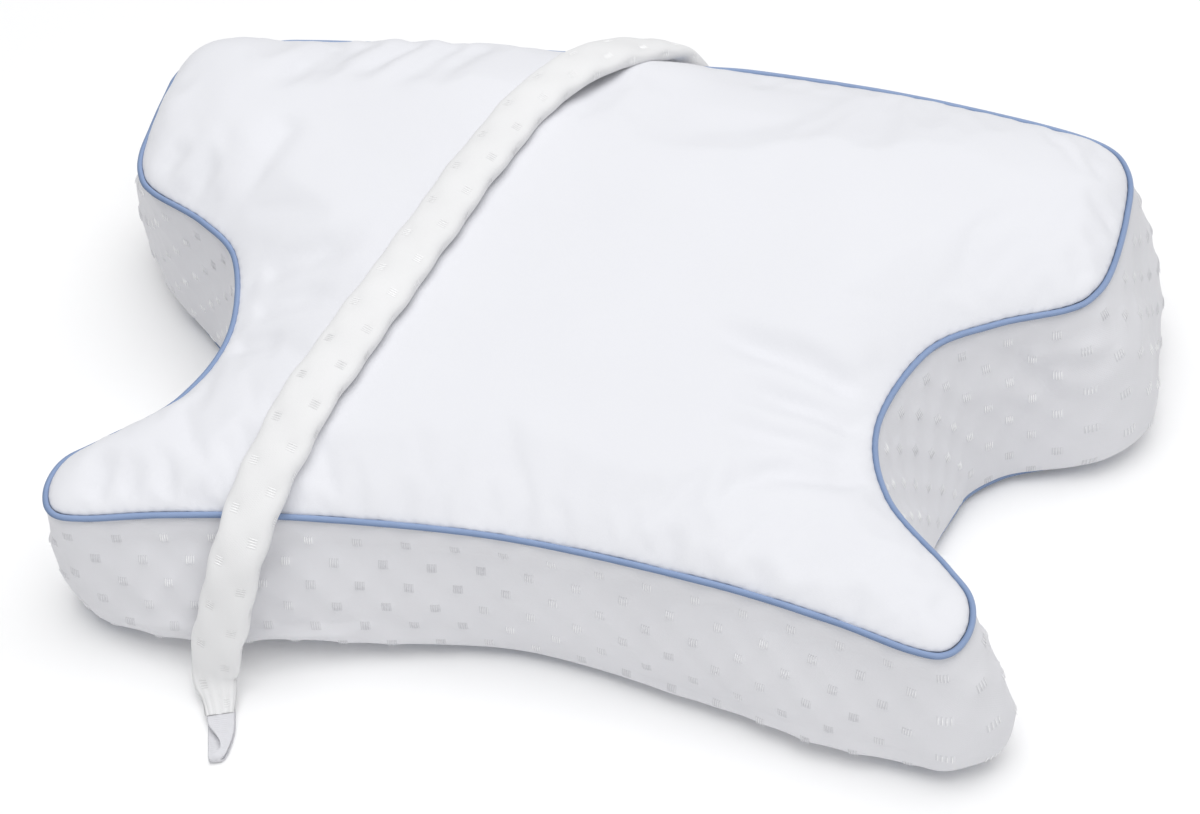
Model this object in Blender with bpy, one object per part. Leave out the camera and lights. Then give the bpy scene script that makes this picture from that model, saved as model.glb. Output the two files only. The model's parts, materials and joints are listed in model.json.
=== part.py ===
# Butterfly-shaped cushion for use with a breathing mask: crowned top, knit gusset, two rows of piping,
# and a soft tether that lies across it. Metres, +Z up, the flat underside rests at z = 0, the front
# (low) edge faces -Y and the origin is the middle of the underside.

import math

import bmesh
import bpy
import numpy as np
from mathutils import Vector
from mathutils.geometry import delaunay_2d_cdt

# Heights of the top seam, which rises from the front edge to the back lobe.
SEAM_FRONT_Z = 0.0783
SEAM_BACK_Z = 0.1146
SEAM_RISE_FROM_Y = -0.166
SEAM_RISE_TO_Y = 0.120

# Crown of the top panel above its seam, and how quickly it swells away from the seam.
CROWN_FRONT = 0.0150
CROWN_BACK = 0.0195
CROWN_REACH = 0.0150
PANEL_RIM_RISE = 0.0005

# Underside: flat in the middle, turned up to the bottom seam at its rim.
FOOT_SEAM_Z = 0.0045
FOOT_TURN_UP = 0.0120

# Cloth, cord and clearances.
CLOTH_THICK = 0.0020
CLOTH_GAP = 0.0005
PIPING_RADIUS = 0.0019
PIPING_SIDES = 6
PANEL_INSET = 0.0025
WALL_UNDER_PIPING = 0.0026
WALL_RINGS = 6
BULGE_FULL_AT = 0.80
BULGE_ONSET = 1.5
BULGE_TUCK = 10

# Points inside the panels: an even grid, a row along the rim and rows along each crease. The closeness
# values are shares of the grid's spacing that two points of these kinds keep between them.
TOP_SPACING = 0.0165
BOTTOM_SPACING = 0.0280
RIM_ROW = 0.0085
CREASE_STEP = 0.0160
CREASE_FLANK = 1.5
CREASE_CLOSENESS = 0.38
RIM_CLOSENESS = 0.40
GRID_CLOSENESS = 0.68
GRID_TO_RIM = 0.45
RIM_ROW_KEPT = 0.85
CREASE_TO_EDGE = 0.70

# Share of a crease's length over which it fades in at its deep end and out at its far end.
CREASE_FADE_IN = 0.18
CREASE_FADE_OUT = 0.45

# Plan, from the middle of the back edge to the middle of the front edge. The two sides share a row.
# name, x, y of the top seam, pull of the right side towards the middle, bulge of the gusset on the left
# and on the right, outward lean of the bottom seam on the left and on the right, steps to the next row
PLAN = (
    ("back middle", 0.0000, 0.1642, 0.000, 0.0160, 0.0160, 0.0000, 0.0000, 4),
    ("back quarter", 0.1050, 0.1604, 0.000, 0.0160, 0.0170, 0.0000, 0.0000, 3),
    ("back shoulder", 0.1815, 0.1499, 0.000, 0.0190, 0.0210, 0.0000, 0.0000, 3),
    ("far ear corner", 0.2292, 0.1374, 0.000, 0.0240, 0.0260, 0.0000, 0.0010, 3),
    ("far ear outer", 0.2454, 0.1183, 0.000, 0.0280, 0.0230, 0.0010, 0.0010, 3),
    ("far ear side", 0.2483, 0.0916, 0.000, 0.0285, 0.0190, 0.0010, 0.0065, 3),
    ("far ear tip", 0.2464, 0.0600, 0.000, 0.0140, 0.0185, -0.0060, 0.0120, 2),
    ("far ear turn", 0.2410, 0.0430, 0.000, 0.0060, 0.0180, -0.0085, 0.0080, 2),
    ("far ear inside", 0.2300, 0.0322, 0.000, 0.0055, 0.0125, -0.0095, 0.0055, 3),
    ("cut-out top", 0.1985, 0.0180, 0.000, 0.0035, 0.0055, 0.0030, 0.0080, 3),
    ("cut-out shoulder", 0.1735, -0.0030, 0.003, 0.0030, 0.0055, 0.0155, 0.0190, 3),
    ("cut-out waist", 0.1604, -0.0478, 0.004, 0.0045, 0.0065, 0.0195, 0.0220, 3),
    ("cut-out low", 0.1706, -0.0868, 0.002, 0.0040, 0.0065, 0.0140, 0.0180, 3),
    ("near ear inside", 0.2010, -0.1180, 0.000, 0.0060, 0.0100, 0.0030, 0.0090, 2),
    ("near ear turn", 0.2140, -0.1325, 0.000, 0.0085, 0.0135, -0.0025, 0.0030, 2),
    ("near ear tip", 0.2162, -0.1490, 0.000, 0.0095, 0.0195, -0.0040, 0.0040, 2),
    ("near ear corner", 0.2090, -0.1615, 0.000, 0.0055, 0.0150, -0.0075, -0.0010, 2),
    ("near ear front", 0.1930, -0.1622, 0.000, 0.0125, 0.0135, -0.0035, -0.0005, 3),
    ("front shoulder", 0.1550, -0.1534, 0.000, 0.0240, 0.0200, 0.0020, 0.0025, 4),
    ("front quarter", 0.0955, -0.1440, 0.000, 0.0225, 0.0175, 0.0025, 0.0000, 6),
    ("front middle", 0.0000, -0.1376, 0.000, 0.0135, 0.0135, -0.0025, -0.0025, 0),
)

# Main creases of the top panel: name, start x, y, end x, y, half width, depth
CREASES = (
    ("back fold a", -0.160, 0.147, -0.186, 0.086, 0.0075, 0.0034),
    ("back fold b", -0.142, 0.150, -0.172, 0.096, 0.0070, 0.0028),
    ("back fold c", -0.118, 0.152, -0.150, 0.097, 0.0075, 0.0034),
    ("back fold d", -0.098, 0.154, -0.124, 0.094, 0.0070, 0.0030),
    ("back fold e", -0.080, 0.154, -0.108, 0.103, 0.0065, 0.0024),
    ("left long fold", -0.164, 0.077, -0.177, 0.014, 0.0080, 0.0022),
    ("left waist fold a", -0.158, -0.018, -0.100, 0.006, 0.0080, 0.0034),
    ("left waist fold b", -0.154, -0.040, -0.106, -0.022, 0.0075, 0.0030),
    ("left waist fold c", -0.156, -0.060, -0.122, -0.053, 0.0070, 0.0022),
    ("right waist fold a", 0.153, -0.038, 0.060, -0.020, 0.0080, 0.0030),
    ("right waist fold b", 0.155, -0.056, 0.092, -0.048, 0.0075, 0.0030),
    ("right waist fold c", 0.157, -0.071, 0.078, -0.074, 0.0080, 0.0028),
    ("right waist fold d", 0.162, -0.085, 0.094, -0.092, 0.0070, 0.0022),
    ("near ear pucker a", -0.190, -0.156, -0.187, -0.128, 0.0055, 0.0024),
    ("near ear pucker b", -0.175, -0.152, -0.173, -0.130, 0.0055, 0.0020),
    ("near ear pucker c", -0.158, -0.148, -0.157, -0.127, 0.0050, 0.0018),
    ("far corner pucker a", -0.228, 0.040, -0.212, 0.056, 0.0055, 0.0022),
    ("far corner pucker b", -0.206, 0.030, -0.196, 0.050, 0.0055, 0.0020),
)

# Tether, from its sewn root on the back gusset to its gathered free end on the surface.
# name, x, y, z of its middle (None: it lies on the top panel), lean of its flat face from up towards
# the front in degrees, width, thickness
TETHER = (
    ("root", 0.0180, 0.1818, 0.0300, -94.0, 0.0120, 0.0050),
    ("root widens", 0.0172, 0.1868, 0.0450, -92.0, 0.0200, 0.0090),
    ("up the back", 0.0150, 0.1870, 0.0670, -84.0, 0.0235, 0.0120),
    ("under the edge", 0.0100, 0.1820, 0.0945, -70.0, 0.0250, 0.0120),
    ("over the edge", 0.0025, 0.1742, 0.1150, -48.0, 0.0260, 0.0120),
    ("over the piping", -0.0070, 0.1605, 0.1274, -24.0, 0.0265, 0.0120),
    ("back lobe", -0.0215, 0.1400, 0.1365, -8.0, 0.0262, 0.0120),
    ("back third", -0.0418, 0.1060, None, 0.0, 0.0248, 0.0115),
    ("behind middle", -0.0589, 0.0550, None, 2.0, 0.0250, 0.0115),
    ("middle", -0.0738, 0.0000, None, 2.0, 0.0256, 0.0115),
    ("before middle", -0.0871, -0.0500, None, 3.0, 0.0268, 0.0115),
    ("front third", -0.0995, -0.0960, None, 6.0, 0.0274, 0.0115),
    ("front lobe", -0.1064, -0.1240, None, 18.0, 0.0268, 0.0120),
    ("over front piping", -0.1106, -0.1466, 0.0915, 50.0, 0.0258, 0.0125),
    ("front edge", -0.1140, -0.1625, 0.0800, 68.0, 0.0248, 0.0130),
    ("down the front", -0.1190, -0.1745, 0.0590, 82.0, 0.0248, 0.0130),
    ("low on the front", -0.1266, -0.1822, 0.0320, 74.0, 0.0250, 0.0125),
    ("meets the surface", -0.1295, -0.1880, 0.0130, 40.0, 0.0236, 0.0110),
    ("on the surface", -0.1263, -0.1968, 0.0066, 8.0, 0.0165, 0.0090),
    ("gathered end", -0.1225, -0.2065, 0.0046, 0.0, 0.0120, 0.0060),
)
TETHER_LIFT = 0.0010
TETHER_STATIONS = 46
TETHER_SIDES = 10
TETHER_SQUARENESS = 2.3

# Ribbon loop at the tether's free end.
TAB_LENGTH = 0.0235
TAB_WIDTH = 0.0120
TAB_HEIGHT = 0.0042
TAB_RIBBON = 0.0010
TAB_HEADING_DEG = -69.0
TAB_START = (-0.1240, -0.2068)
TAB_LIFT = 0.0003
TAB_TURN_STEPS = 6
TAB_TAPER = 0.30
TAB_TAPER_FROM = 0.45

WHITE_MICROFIBRE = ((0.90, 0.91, 0.94), 0.75)
WHITE_KNIT = ((0.84, 0.85, 0.87), 0.85)
BLUE_TWILL = ((0.13, 0.27, 0.62), 0.65)
WARM_KNIT = ((0.87, 0.87, 0.86), 0.85)
GREY_RIBBON = ((0.78, 0.78, 0.83), 0.55)


def clear_scene():
    for obj in list(bpy.data.objects):
        bpy.data.objects.remove(obj, do_unlink=True)


def cloth_material(name, look):
    color, roughness = look
    material = bpy.data.materials.new(name)
    material.use_nodes = True
    shader = material.node_tree.nodes["Principled BSDF"]
    shader.inputs["Base Color"].default_value = (*color, 1.0)
    shader.inputs["Roughness"].default_value = roughness
    shader.inputs["Metallic"].default_value = 0.0
    return material


def add_object(name, verts, faces, look):
    mesh = bpy.data.meshes.new(name)
    mesh.from_pydata([tuple(map(float, v)) for v in verts], [], faces)
    bm = bmesh.new()
    bm.from_mesh(mesh)
    bmesh.ops.recalc_face_normals(bm, faces=bm.faces)
    bm.to_mesh(mesh)
    bm.free()
    mesh.shade_smooth()
    mesh.materials.append(cloth_material(name + "_cloth", look))
    obj = bpy.data.objects.new(name, mesh)
    bpy.context.scene.collection.objects.link(obj)
    return obj


def spline(rows, u, closed):
    """Catmull-Rom value of a table of rows at the whole-and-part index u."""
    count = len(rows)
    i = int(math.floor(u))
    t = u - i
    picks = []
    for k in (i - 1, i, i + 1, i + 2):
        picks.append(rows[k % count] if closed else rows[min(max(k, 0), count - 1)])
    a, b, c, d = (np.asarray(p, float) for p in picks)
    return 0.5 * ((2 * b) + (c - a) * t + (2 * a - 5 * b + 4 * c - d) * t * t
                  + (3 * b - a - 3 * c + d) * t ** 3)


def plan_stations():
    """Seam points all round, with the gusset's bulge and lean there, clockwise from the back middle."""
    right = [(x - pull, y, bulge, lean) for _, x, y, pull, _, bulge, _, lean, _ in PLAN]
    left = [(-x, y, bulge, lean) for _, x, y, _, bulge, _, lean, _, _ in PLAN[1:-1]]
    rows = right + left[::-1]
    steps = [row[-1] for row in PLAN[:-1]]
    steps = steps + steps[::-1]
    stations = []
    for i, count in enumerate(steps):
        for k in range(count):
            stations.append(spline(rows, i + k / count, True))
    return np.array(stations)


def outward_normals(loop):
    ahead = np.roll(loop, -1, axis=0) - np.roll(loop, 1, axis=0)
    ahead /= np.linalg.norm(ahead, axis=1)[:, None]
    return np.column_stack([-ahead[:, 1], ahead[:, 0]])


def seam_height(y):
    part = np.clip((y - SEAM_RISE_FROM_Y) / (SEAM_RISE_TO_Y - SEAM_RISE_FROM_Y), 0.0, 1.0)
    return SEAM_FRONT_Z + (SEAM_BACK_Z - SEAM_FRONT_Z) * part


def soft_distance(points, loop):
    """Distance to the seam, softened so that it has no ridge midway between two edges."""
    a = loop[None, :, :] - points[:, None, :]
    b = np.roll(loop, -1, axis=0)[None, :, :] - points[:, None, :]
    cross = a[..., 0] * b[..., 1] - a[..., 1] * b[..., 0]
    dot = (a * b).sum(axis=2)
    angle = np.arctan2(cross, dot)
    length = np.linalg.norm(b - a, axis=2)
    height = cross / length
    safe = np.where(np.abs(height) < 1e-7, 1e-7, height)
    pull = np.abs((angle / safe).sum(axis=1))
    return math.pi / np.maximum(pull, 1e-9)


def crease_drop(points):
    """How far the creases lower the top panel at each point."""
    drop = np.zeros(len(points))
    for _, x0, y0, x1, y1, half_width, depth in CREASES:
        start = np.array((x0, y0))
        along = np.array((x1, y1)) - start
        length = np.linalg.norm(along)
        along /= length
        rel = points - start
        t = rel @ along / length
        off = rel @ np.array((-along[1], along[0]))
        fade = np.clip(t / CREASE_FADE_IN, 0, 1) * np.clip((1 - t) / CREASE_FADE_OUT, 0, 1)
        fade = fade * fade * (3 - 2 * fade)
        drop += depth * fade * np.exp(-(off / half_width) ** 2)
    return drop


def top_height(points, seam):
    """Outer surface of the top panel."""
    reach = np.maximum(soft_distance(points, seam) - PANEL_INSET, 0.0)
    part = np.clip((points[:, 1] - SEAM_RISE_FROM_Y) / (SEAM_RISE_TO_Y - SEAM_RISE_FROM_Y), 0, 1)
    crown = CROWN_FRONT + (CROWN_BACK - CROWN_FRONT) * part
    swell = crown * (1 - np.exp(-reach / CROWN_REACH))
    return seam_height(points[:, 1]) + PANEL_RIM_RISE + swell - crease_drop(points)


def bottom_height(points, foot):
    """Outer surface of the bottom panel: flat, turned up at the rim."""
    reach = soft_distance(points, foot)
    return FOOT_SEAM_Z * np.clip(1 - reach / FOOT_TURN_UP, 0, 1) ** 2


def inside(points, loop):
    x, y = points[:, 0][:, None], points[:, 1][:, None]
    x0, y0 = loop[:, 0][None], loop[:, 1][None]
    x1, y1 = np.roll(loop[:, 0], -1)[None], np.roll(loop[:, 1], -1)[None]
    spans = (y0 > y) != (y1 > y)
    rise = np.where(y1 == y0, 1e-12, y1 - y0)
    crossing = x < (x1 - x0) * (y - y0) / rise + x0
    return (spans & crossing).sum(axis=1) % 2 == 1


def edge_distance(points, loop):
    start = loop[None]
    run = (np.roll(loop, -1, axis=0) - loop)[None]
    rel = points[:, None] - start
    t = np.clip((rel * run).sum(axis=2) / (run ** 2).sum(axis=2), 0, 1)
    return np.linalg.norm(rel - t[..., None] * run, axis=2).min(axis=1)


def thin_out(points, keep_from, spacing):
    """Points of a list, in order, that stay at least one spacing from the kept ones before them."""
    kept = list(keep_from)
    added = []
    for p in points:
        if min(np.hypot(*(p - q)) for q in kept) >= spacing:
            kept.append(p)
            added.append(p)
    return added


def crease_points():
    points = []
    for _, x0, y0, x1, y1, half_width, _ in CREASES:
        start, end = np.array((x0, y0)), np.array((x1, y1))
        length = np.linalg.norm(end - start)
        side = np.array((-(end - start)[1], (end - start)[0])) / length
        count = max(3, round(length / CREASE_STEP))
        for k in range(count + 1):
            middle = start + (end - start) * k / count
            points.append(middle)
            if 0 < k < count:
                points.append(middle + side * half_width * CREASE_FLANK)
                points.append(middle - side * half_width * CREASE_FLANK)
    return points


def fill_outline(loop, rim_row, spacing, extra=()):
    """Triangles that fill an outline: its own points, a rim row, extra points and an even grid."""
    first = [loop[0]]
    rim = loop - outward_normals(loop) * rim_row
    rim = rim[edge_distance(rim, loop) > rim_row * RIM_ROW_KEPT]
    inner = []
    if len(extra):
        extra = np.array(extra)
        extra = extra[inside(extra, loop)]
        extra = extra[edge_distance(extra, loop) > rim_row * CREASE_TO_EDGE]
        inner = thin_out(list(extra), first, spacing * CREASE_CLOSENESS)
    points = inner + thin_out(list(rim), inner + first, spacing * RIM_CLOSENESS)
    low, high = loop.min(axis=0), loop.max(axis=0)
    row_step = spacing * math.sqrt(3) / 2
    grid = []
    for j in range(int((high[1] - low[1]) / row_step) + 1):
        shift = spacing / 2 if j % 2 else 0.0
        for i in range(int((high[0] - low[0]) / spacing) + 1):
            grid.append((low[0] + shift + i * spacing, low[1] + j * row_step))
    grid = np.array(grid)
    grid = grid[inside(grid, loop)]
    grid = grid[edge_distance(grid, loop) > rim_row + spacing * GRID_TO_RIM]
    points += thin_out(list(grid), points, spacing * GRID_CLOSENESS)
    flat = [Vector((float(p[0]), float(p[1]))) for p in list(loop) + points]
    result = delaunay_2d_cdt(flat, [], [list(range(len(loop)))], 1, 1e-7)
    verts = np.array([tuple(v) for v in result[0]])
    return verts, [tuple(f) for f in result[2]]


def loop_order(verts, loop):
    """Index in verts of each point of the outline."""
    return [int(np.argmin(np.hypot(*(verts - p).T))) for p in loop]


def sheet_solid(name, verts, faces, rim, upper_z, lower_z, look):
    count = len(verts)
    points = [(x, y, z) for (x, y), z in zip(verts, upper_z)]
    points += [(x, y, z) for (x, y), z in zip(verts, lower_z)]
    solid = list(faces) + [tuple(i + count for i in reversed(f)) for f in faces]
    for k, a in enumerate(rim):
        b = rim[(k + 1) % len(rim)]
        solid.append((a, b, b + count, a + count))
    return add_object(name, points, solid, look)


def gusset_rings(seam, normals, bulge, lean):
    """Rings of the gusset from just under the top piping to just above the bottom piping."""
    high = seam_height(seam[:, 1]) - WALL_UNDER_PIPING
    low = FOOT_SEAM_Z + WALL_UNDER_PIPING
    rings = []
    for k in range(WALL_RINGS + 1):
        t = k / WALL_RINGS
        down = math.sin(math.pi / 2 * t)
        swell = math.sin(math.pi / 2 * min(1.0, down / BULGE_FULL_AT)) ** BULGE_ONSET
        tuck = math.sqrt(max(0.0, 1 - down ** BULGE_TUCK))
        out = lean * down + bulge * swell * tuck
        plan = seam + normals * out[:, None]
        rings.append(np.column_stack([plan, high + (low - high) * down]))
    return rings


def build_body(rings, top, bottom):
    """Filled cushion: crowned top, gusset wall and flat underside in one closed solid."""
    (top_verts, top_faces, top_rim, top_z), (low_verts, low_faces, low_rim, low_z) = top, bottom
    points = [(x, y, z) for (x, y), z in zip(top_verts, top_z)]
    faces = list(top_faces)
    previous = list(top_rim)
    for ring in rings:
        start = len(points)
        points += [tuple(p) for p in ring]
        current = list(range(start, start + len(ring)))
        for k in range(len(ring)):
            n = (k + 1) % len(ring)
            faces.append((previous[k], current[k], current[n], previous[n]))
        previous = current
    start = len(points)
    points += [(x, y, z) for (x, y), z in zip(low_verts, low_z)]
    faces += [tuple(i + start for i in reversed(f)) for f in low_faces]
    current = [i + start for i in low_rim]
    for k in range(len(current)):
        n = (k + 1) % len(current)
        faces.append((previous[k], current[k], current[n], previous[n]))
    return add_object("pillow_body", points, faces, WHITE_KNIT)


def build_piping(name, centres, normals):
    """Closed round cord along a seam."""
    points = []
    for centre, out in zip(centres, normals):
        for k in range(PIPING_SIDES):
            a = 2 * math.pi * k / PIPING_SIDES
            shift = PIPING_RADIUS * math.cos(a)
            rise = PIPING_RADIUS * math.sin(a)
            points.append((centre[0] + out[0] * shift, centre[1] + out[1] * shift, centre[2] + rise))
    faces = []
    count = len(centres)
    for i in range(count):
        j = (i + 1) % count
        for k in range(PIPING_SIDES):
            n = (k + 1) % PIPING_SIDES
            faces.append((i * PIPING_SIDES + k, j * PIPING_SIDES + k,
                          j * PIPING_SIDES + n, i * PIPING_SIDES + n))
    return add_object(name, points, faces, BLUE_TWILL)


def build_tether(seam):
    """Padded knit tube: an oval section carried along its route, closed flat at both ends."""
    rows = []
    for _, x, y, z, lean, width, thick in TETHER:
        if z is None:
            z = float(top_height(np.array([(x, y)]), seam)[0]) + thick / 2 + TETHER_LIFT
        rows.append((x, y, z, lean, width, thick))
    last = len(rows) - 1
    stations = [spline(rows, min(last * k / TETHER_STATIONS, last - 1e-9), False)
                for k in range(TETHER_STATIONS + 1)]
    centres = np.array([s[:3] for s in stations])
    ahead = np.gradient(centres, axis=0)
    points = []
    for i, (_, _, _, lean, width, thick) in enumerate(stations):
        tangent = Vector(ahead[i]).normalized()
        lean = math.radians(lean)
        face = Vector((0.0, -math.sin(lean), math.cos(lean)))
        side = tangent.cross(face).normalized()
        face = side.cross(tangent).normalized()
        for k in range(TETHER_SIDES):
            a = 2 * math.pi * k / TETHER_SIDES
            power = 2 / TETHER_SQUARENESS
            u = math.copysign(abs(math.cos(a)) ** power, math.cos(a)) * width / 2
            v = math.copysign(abs(math.sin(a)) ** power, math.sin(a)) * thick / 2
            points.append(Vector(centres[i]) + side * u + face * v)
    faces = []
    for i in range(TETHER_STATIONS):
        for k in range(TETHER_SIDES):
            n = (k + 1) % TETHER_SIDES
            faces.append((i * TETHER_SIDES + k, (i + 1) * TETHER_SIDES + k,
                          (i + 1) * TETHER_SIDES + n, i * TETHER_SIDES + n))
    faces.append(tuple(range(TETHER_SIDES)))
    end = TETHER_STATIONS * TETHER_SIDES
    faces.append(tuple(range(end + TETHER_SIDES - 1, end - 1, -1)))
    return add_object("tether", points, faces, WARM_KNIT)


def stadium(length, height, inset):
    """Side view of the folded ribbon: straight runs and a round turn at each end."""
    radius = height / 2 - inset
    points = []
    for centre, start in ((length - height / 2, -90.0), (height / 2, 90.0)):
        for k in range(TAB_TURN_STEPS + 1):
            a = math.radians(start + 180.0 * k / TAB_TURN_STEPS)
            points.append((centre + radius * math.cos(a), height / 2 + radius * math.sin(a)))
    return points


def build_tab():
    """Ribbon folded into a flat loop, open from side to side."""
    heading = math.radians(TAB_HEADING_DEG)
    ahead = Vector((math.cos(heading), math.sin(heading), 0.0))
    side = Vector((-ahead.y, ahead.x, 0.0))
    origin = Vector((*TAB_START, TAB_LIFT))
    outer = stadium(TAB_LENGTH, TAB_HEIGHT, 0.0)
    inner = stadium(TAB_LENGTH, TAB_HEIGHT, TAB_RIBBON)
    points = []
    for profile in (outer, inner):
        for half in (-TAB_WIDTH / 2, TAB_WIDTH / 2):
            for run, rise in profile:
                taper = 1 - TAB_TAPER * max(0.0, run / TAB_LENGTH - TAB_TAPER_FROM) / (1 - TAB_TAPER_FROM)
                points.append(origin + ahead * run + side * half * taper + Vector((0, 0, rise)))
    count = len(outer)
    faces = []
    for k in range(count):
        n = (k + 1) % count
        faces.append((k, n, count + n, count + k))
        faces.append((2 * count + k, 3 * count + k, 3 * count + n, 2 * count + n))
        faces.append((k, 2 * count + k, 2 * count + n, n))
        faces.append((count + k, count + n, 3 * count + n, 3 * count + k))
    return add_object("tether_tab", points, faces, GREY_RIBBON)


def main():
    clear_scene()
    stations = plan_stations()
    seam, bulge, lean = stations[:, :2], stations[:, 2], stations[:, 3]
    normals = outward_normals(seam)
    foot = seam + normals * lean[:, None]
    top_loop = seam - normals * PANEL_INSET
    foot_loop = foot - normals * PANEL_INSET

    top_verts, top_faces = fill_outline(top_loop, RIM_ROW, TOP_SPACING, crease_points())
    top_rim = loop_order(top_verts, top_loop)
    outer_z = top_height(top_verts, seam)
    low_verts, low_faces = fill_outline(foot_loop, FOOT_TURN_UP, BOTTOM_SPACING)
    low_rim = loop_order(low_verts, foot_loop)
    under_z = bottom_height(low_verts, foot)

    top_body_z = outer_z - CLOTH_THICK - CLOTH_GAP
    low_body_z = under_z + CLOTH_THICK + CLOTH_GAP
    rings = gusset_rings(seam, normals, bulge, lean)
    build_body(rings, (top_verts, top_faces, top_rim, top_body_z),
               (low_verts, low_faces, low_rim, low_body_z))
    sheet_solid("top_panel", top_verts, top_faces, top_rim, outer_z, outer_z - CLOTH_THICK,
                WHITE_MICROFIBRE)
    sheet_solid("bottom_panel", low_verts, low_faces, low_rim, under_z + CLOTH_THICK, under_z, WHITE_KNIT)
    build_piping("top_piping", np.column_stack([seam, seam_height(seam[:, 1])]), normals)
    build_piping("bottom_piping", np.column_stack([foot, np.full(len(foot), FOOT_SEAM_Z)]), normals)
    build_tether(seam)
    build_tab()


main()
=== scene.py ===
"""Looks of a butterfly-shaped cushion for a breathing mask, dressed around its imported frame.

The pieces are a filled cushion with a jacquard knit gusset, a smooth top panel, a knit underside, two
rows of blue piping, a padded tether that lies across the top, and the ribbon at its free end. Metres.
"""

import functools
import json
import math

import bmesh
import bpy
import numpy as np
from mathutils import Matrix, Vector, noise
from mathutils.bvhtree import BVHTree
from mathutils.geometry import delaunay_2d_cdt

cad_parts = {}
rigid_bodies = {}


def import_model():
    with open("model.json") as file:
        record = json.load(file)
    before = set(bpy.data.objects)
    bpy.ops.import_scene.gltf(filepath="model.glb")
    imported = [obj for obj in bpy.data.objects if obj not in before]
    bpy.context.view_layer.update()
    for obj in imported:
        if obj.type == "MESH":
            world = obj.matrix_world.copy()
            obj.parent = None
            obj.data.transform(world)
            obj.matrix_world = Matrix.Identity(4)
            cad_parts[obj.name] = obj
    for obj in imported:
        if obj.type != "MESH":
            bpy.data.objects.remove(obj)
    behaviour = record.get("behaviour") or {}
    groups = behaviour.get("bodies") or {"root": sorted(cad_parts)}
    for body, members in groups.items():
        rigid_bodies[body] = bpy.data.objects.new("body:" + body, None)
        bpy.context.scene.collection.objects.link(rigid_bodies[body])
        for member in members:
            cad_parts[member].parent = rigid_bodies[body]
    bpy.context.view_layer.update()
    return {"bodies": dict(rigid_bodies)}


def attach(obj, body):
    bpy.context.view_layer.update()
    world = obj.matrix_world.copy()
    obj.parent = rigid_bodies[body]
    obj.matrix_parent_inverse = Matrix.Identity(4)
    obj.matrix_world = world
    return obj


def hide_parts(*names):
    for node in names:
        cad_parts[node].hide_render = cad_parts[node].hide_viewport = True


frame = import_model()
BODY = next(iter(frame["bodies"]))

bl_info = {
    "name": "Hose Tether Cushion",
    "version": (1, 0, 0),
    "blender": (4, 5, 0),
    "location": "View3D > Sidebar > Cushion",
    "description": "Butterfly-shaped cushion with a jacquard gusset, blue piping and a padded tether",
    "category": "Add Mesh",
}

# Heights of the top seam, which rises from the front edge to the back lobe.
SEAM_FRONT_Z = 0.0783
SEAM_BACK_Z = 0.1146
SEAM_RISE_FROM_Y = -0.166
SEAM_RISE_TO_Y = 0.120

# Crown of the top panel above its seam, its rim at the piping, the turn of the underside, and the cloth.
CROWN_FRONT = 0.0150
CROWN_BACK = 0.0195
CROWN_REACH = 0.0150
PANEL_RIM_RISE = 0.0007
PANEL_INSET = 0.0007
FOOT_SEAM_Z = 0.0045
FOOT_TURN_UP = 0.0120
CLOTH_THICK = 0.0016
CLOTH_OVER_FILL = 0.0004
CLOTH_EASE = 1.04

# Gusset wall between the two rows of piping.
WALL_UNDER_PIPING = 0.0010
WALL_TUCK_IN = 0.0011
BULGE_FULL_AT = 0.80
BULGE_ONSET = 1.0
BULGE_TUCK = 10

# How finely the pieces are divided. A panel's rim row and even grid keep off its outline: the row by
# RIM_ROW_CLOSENESS, and the grid by a share of its spacing beyond the row.
PIPING_STEPS_ROUND = 16
SHELL_STEPS_ROUND = 288
SHELL_STEPS_DOWN = 18
FINE_PER_SHELL_STEP = 4
FINE_STEPS_DOWN = 60
TOP_SPACING = 0.0048
UNDER_SPACING = 0.0100
PANEL_RIM_ROW = 0.0040
RIM_ROW_CLOSENESS = PANEL_RIM_ROW * 0.9
GRID_CLOSENESS_SHARE = 0.6
FILL_INSIDE_ONLY = 1
WELD_DISTANCE = 1e-7

# Piping: the side towards the light, where its twill gets painted light while the far side gets painted
# shade, how far the cord sinks where the panel hides it, and how much its thickness wavers.
PIPING_PAINTED_LIGHT_SIDE = (0.75, 0.0, 0.66)
PIPING_SINK_IN = 0.0010
PIPING_SINK_DOWN = 0.0012
PIPING_WAVER = 0.06
PIPING_WAVER_SCALE = 55.0

# Knit: a dimple pulls the cloth in at each woven square. Widths are shares of the repeat, a bar's width is a
# share of its pitch, and the puffs fade out towards both seams.
DIMPLE_DEPTH = 0.90
DIMPLE_WIDTH = 0.17
SQUARE_SHARE = 0.100
BARS_A_SQUARE = 4
BAR_WIDTH_SHARE = 0.40
BAR_HEIGHT = 0.0006
BAR_SIDES = 6
BAR_RINGS = 4
# Shares by which the woven squares are painted darker: partly their own tone, partly painted shade in the
# ground between the bars.
GUSSET_SQUARE_TONE_AND_SHADE = 0.60
TETHER_SQUARE_TONE_AND_SHADE = 0.20
PUFF_FADE_TOP = 0.004
PUFF_FADE_FOOT = 0.030

# Fine texture of the cloths: pitches of the threads, and shares of each part in the relief or the shade.
NAP_SHARE = 0.35
KNIT_WALE = 0.00095
KNIT_COURSE = 0.0013
KNIT_LOOPS = 0.16
KNIT_FUZZ = 0.35
KNIT_RUMPLE = 1.1
KNIT_BARS = 0.8
# Bars of the woven squares painted as lighter stripes with darker gaps: partly their pattern, partly painted
# light and shade.
KNIT_BAR_LIGHT = 0.30
KNIT_SHADE_SWING = 0.40
KNIT_SHADE_BASE = 0.45
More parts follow.
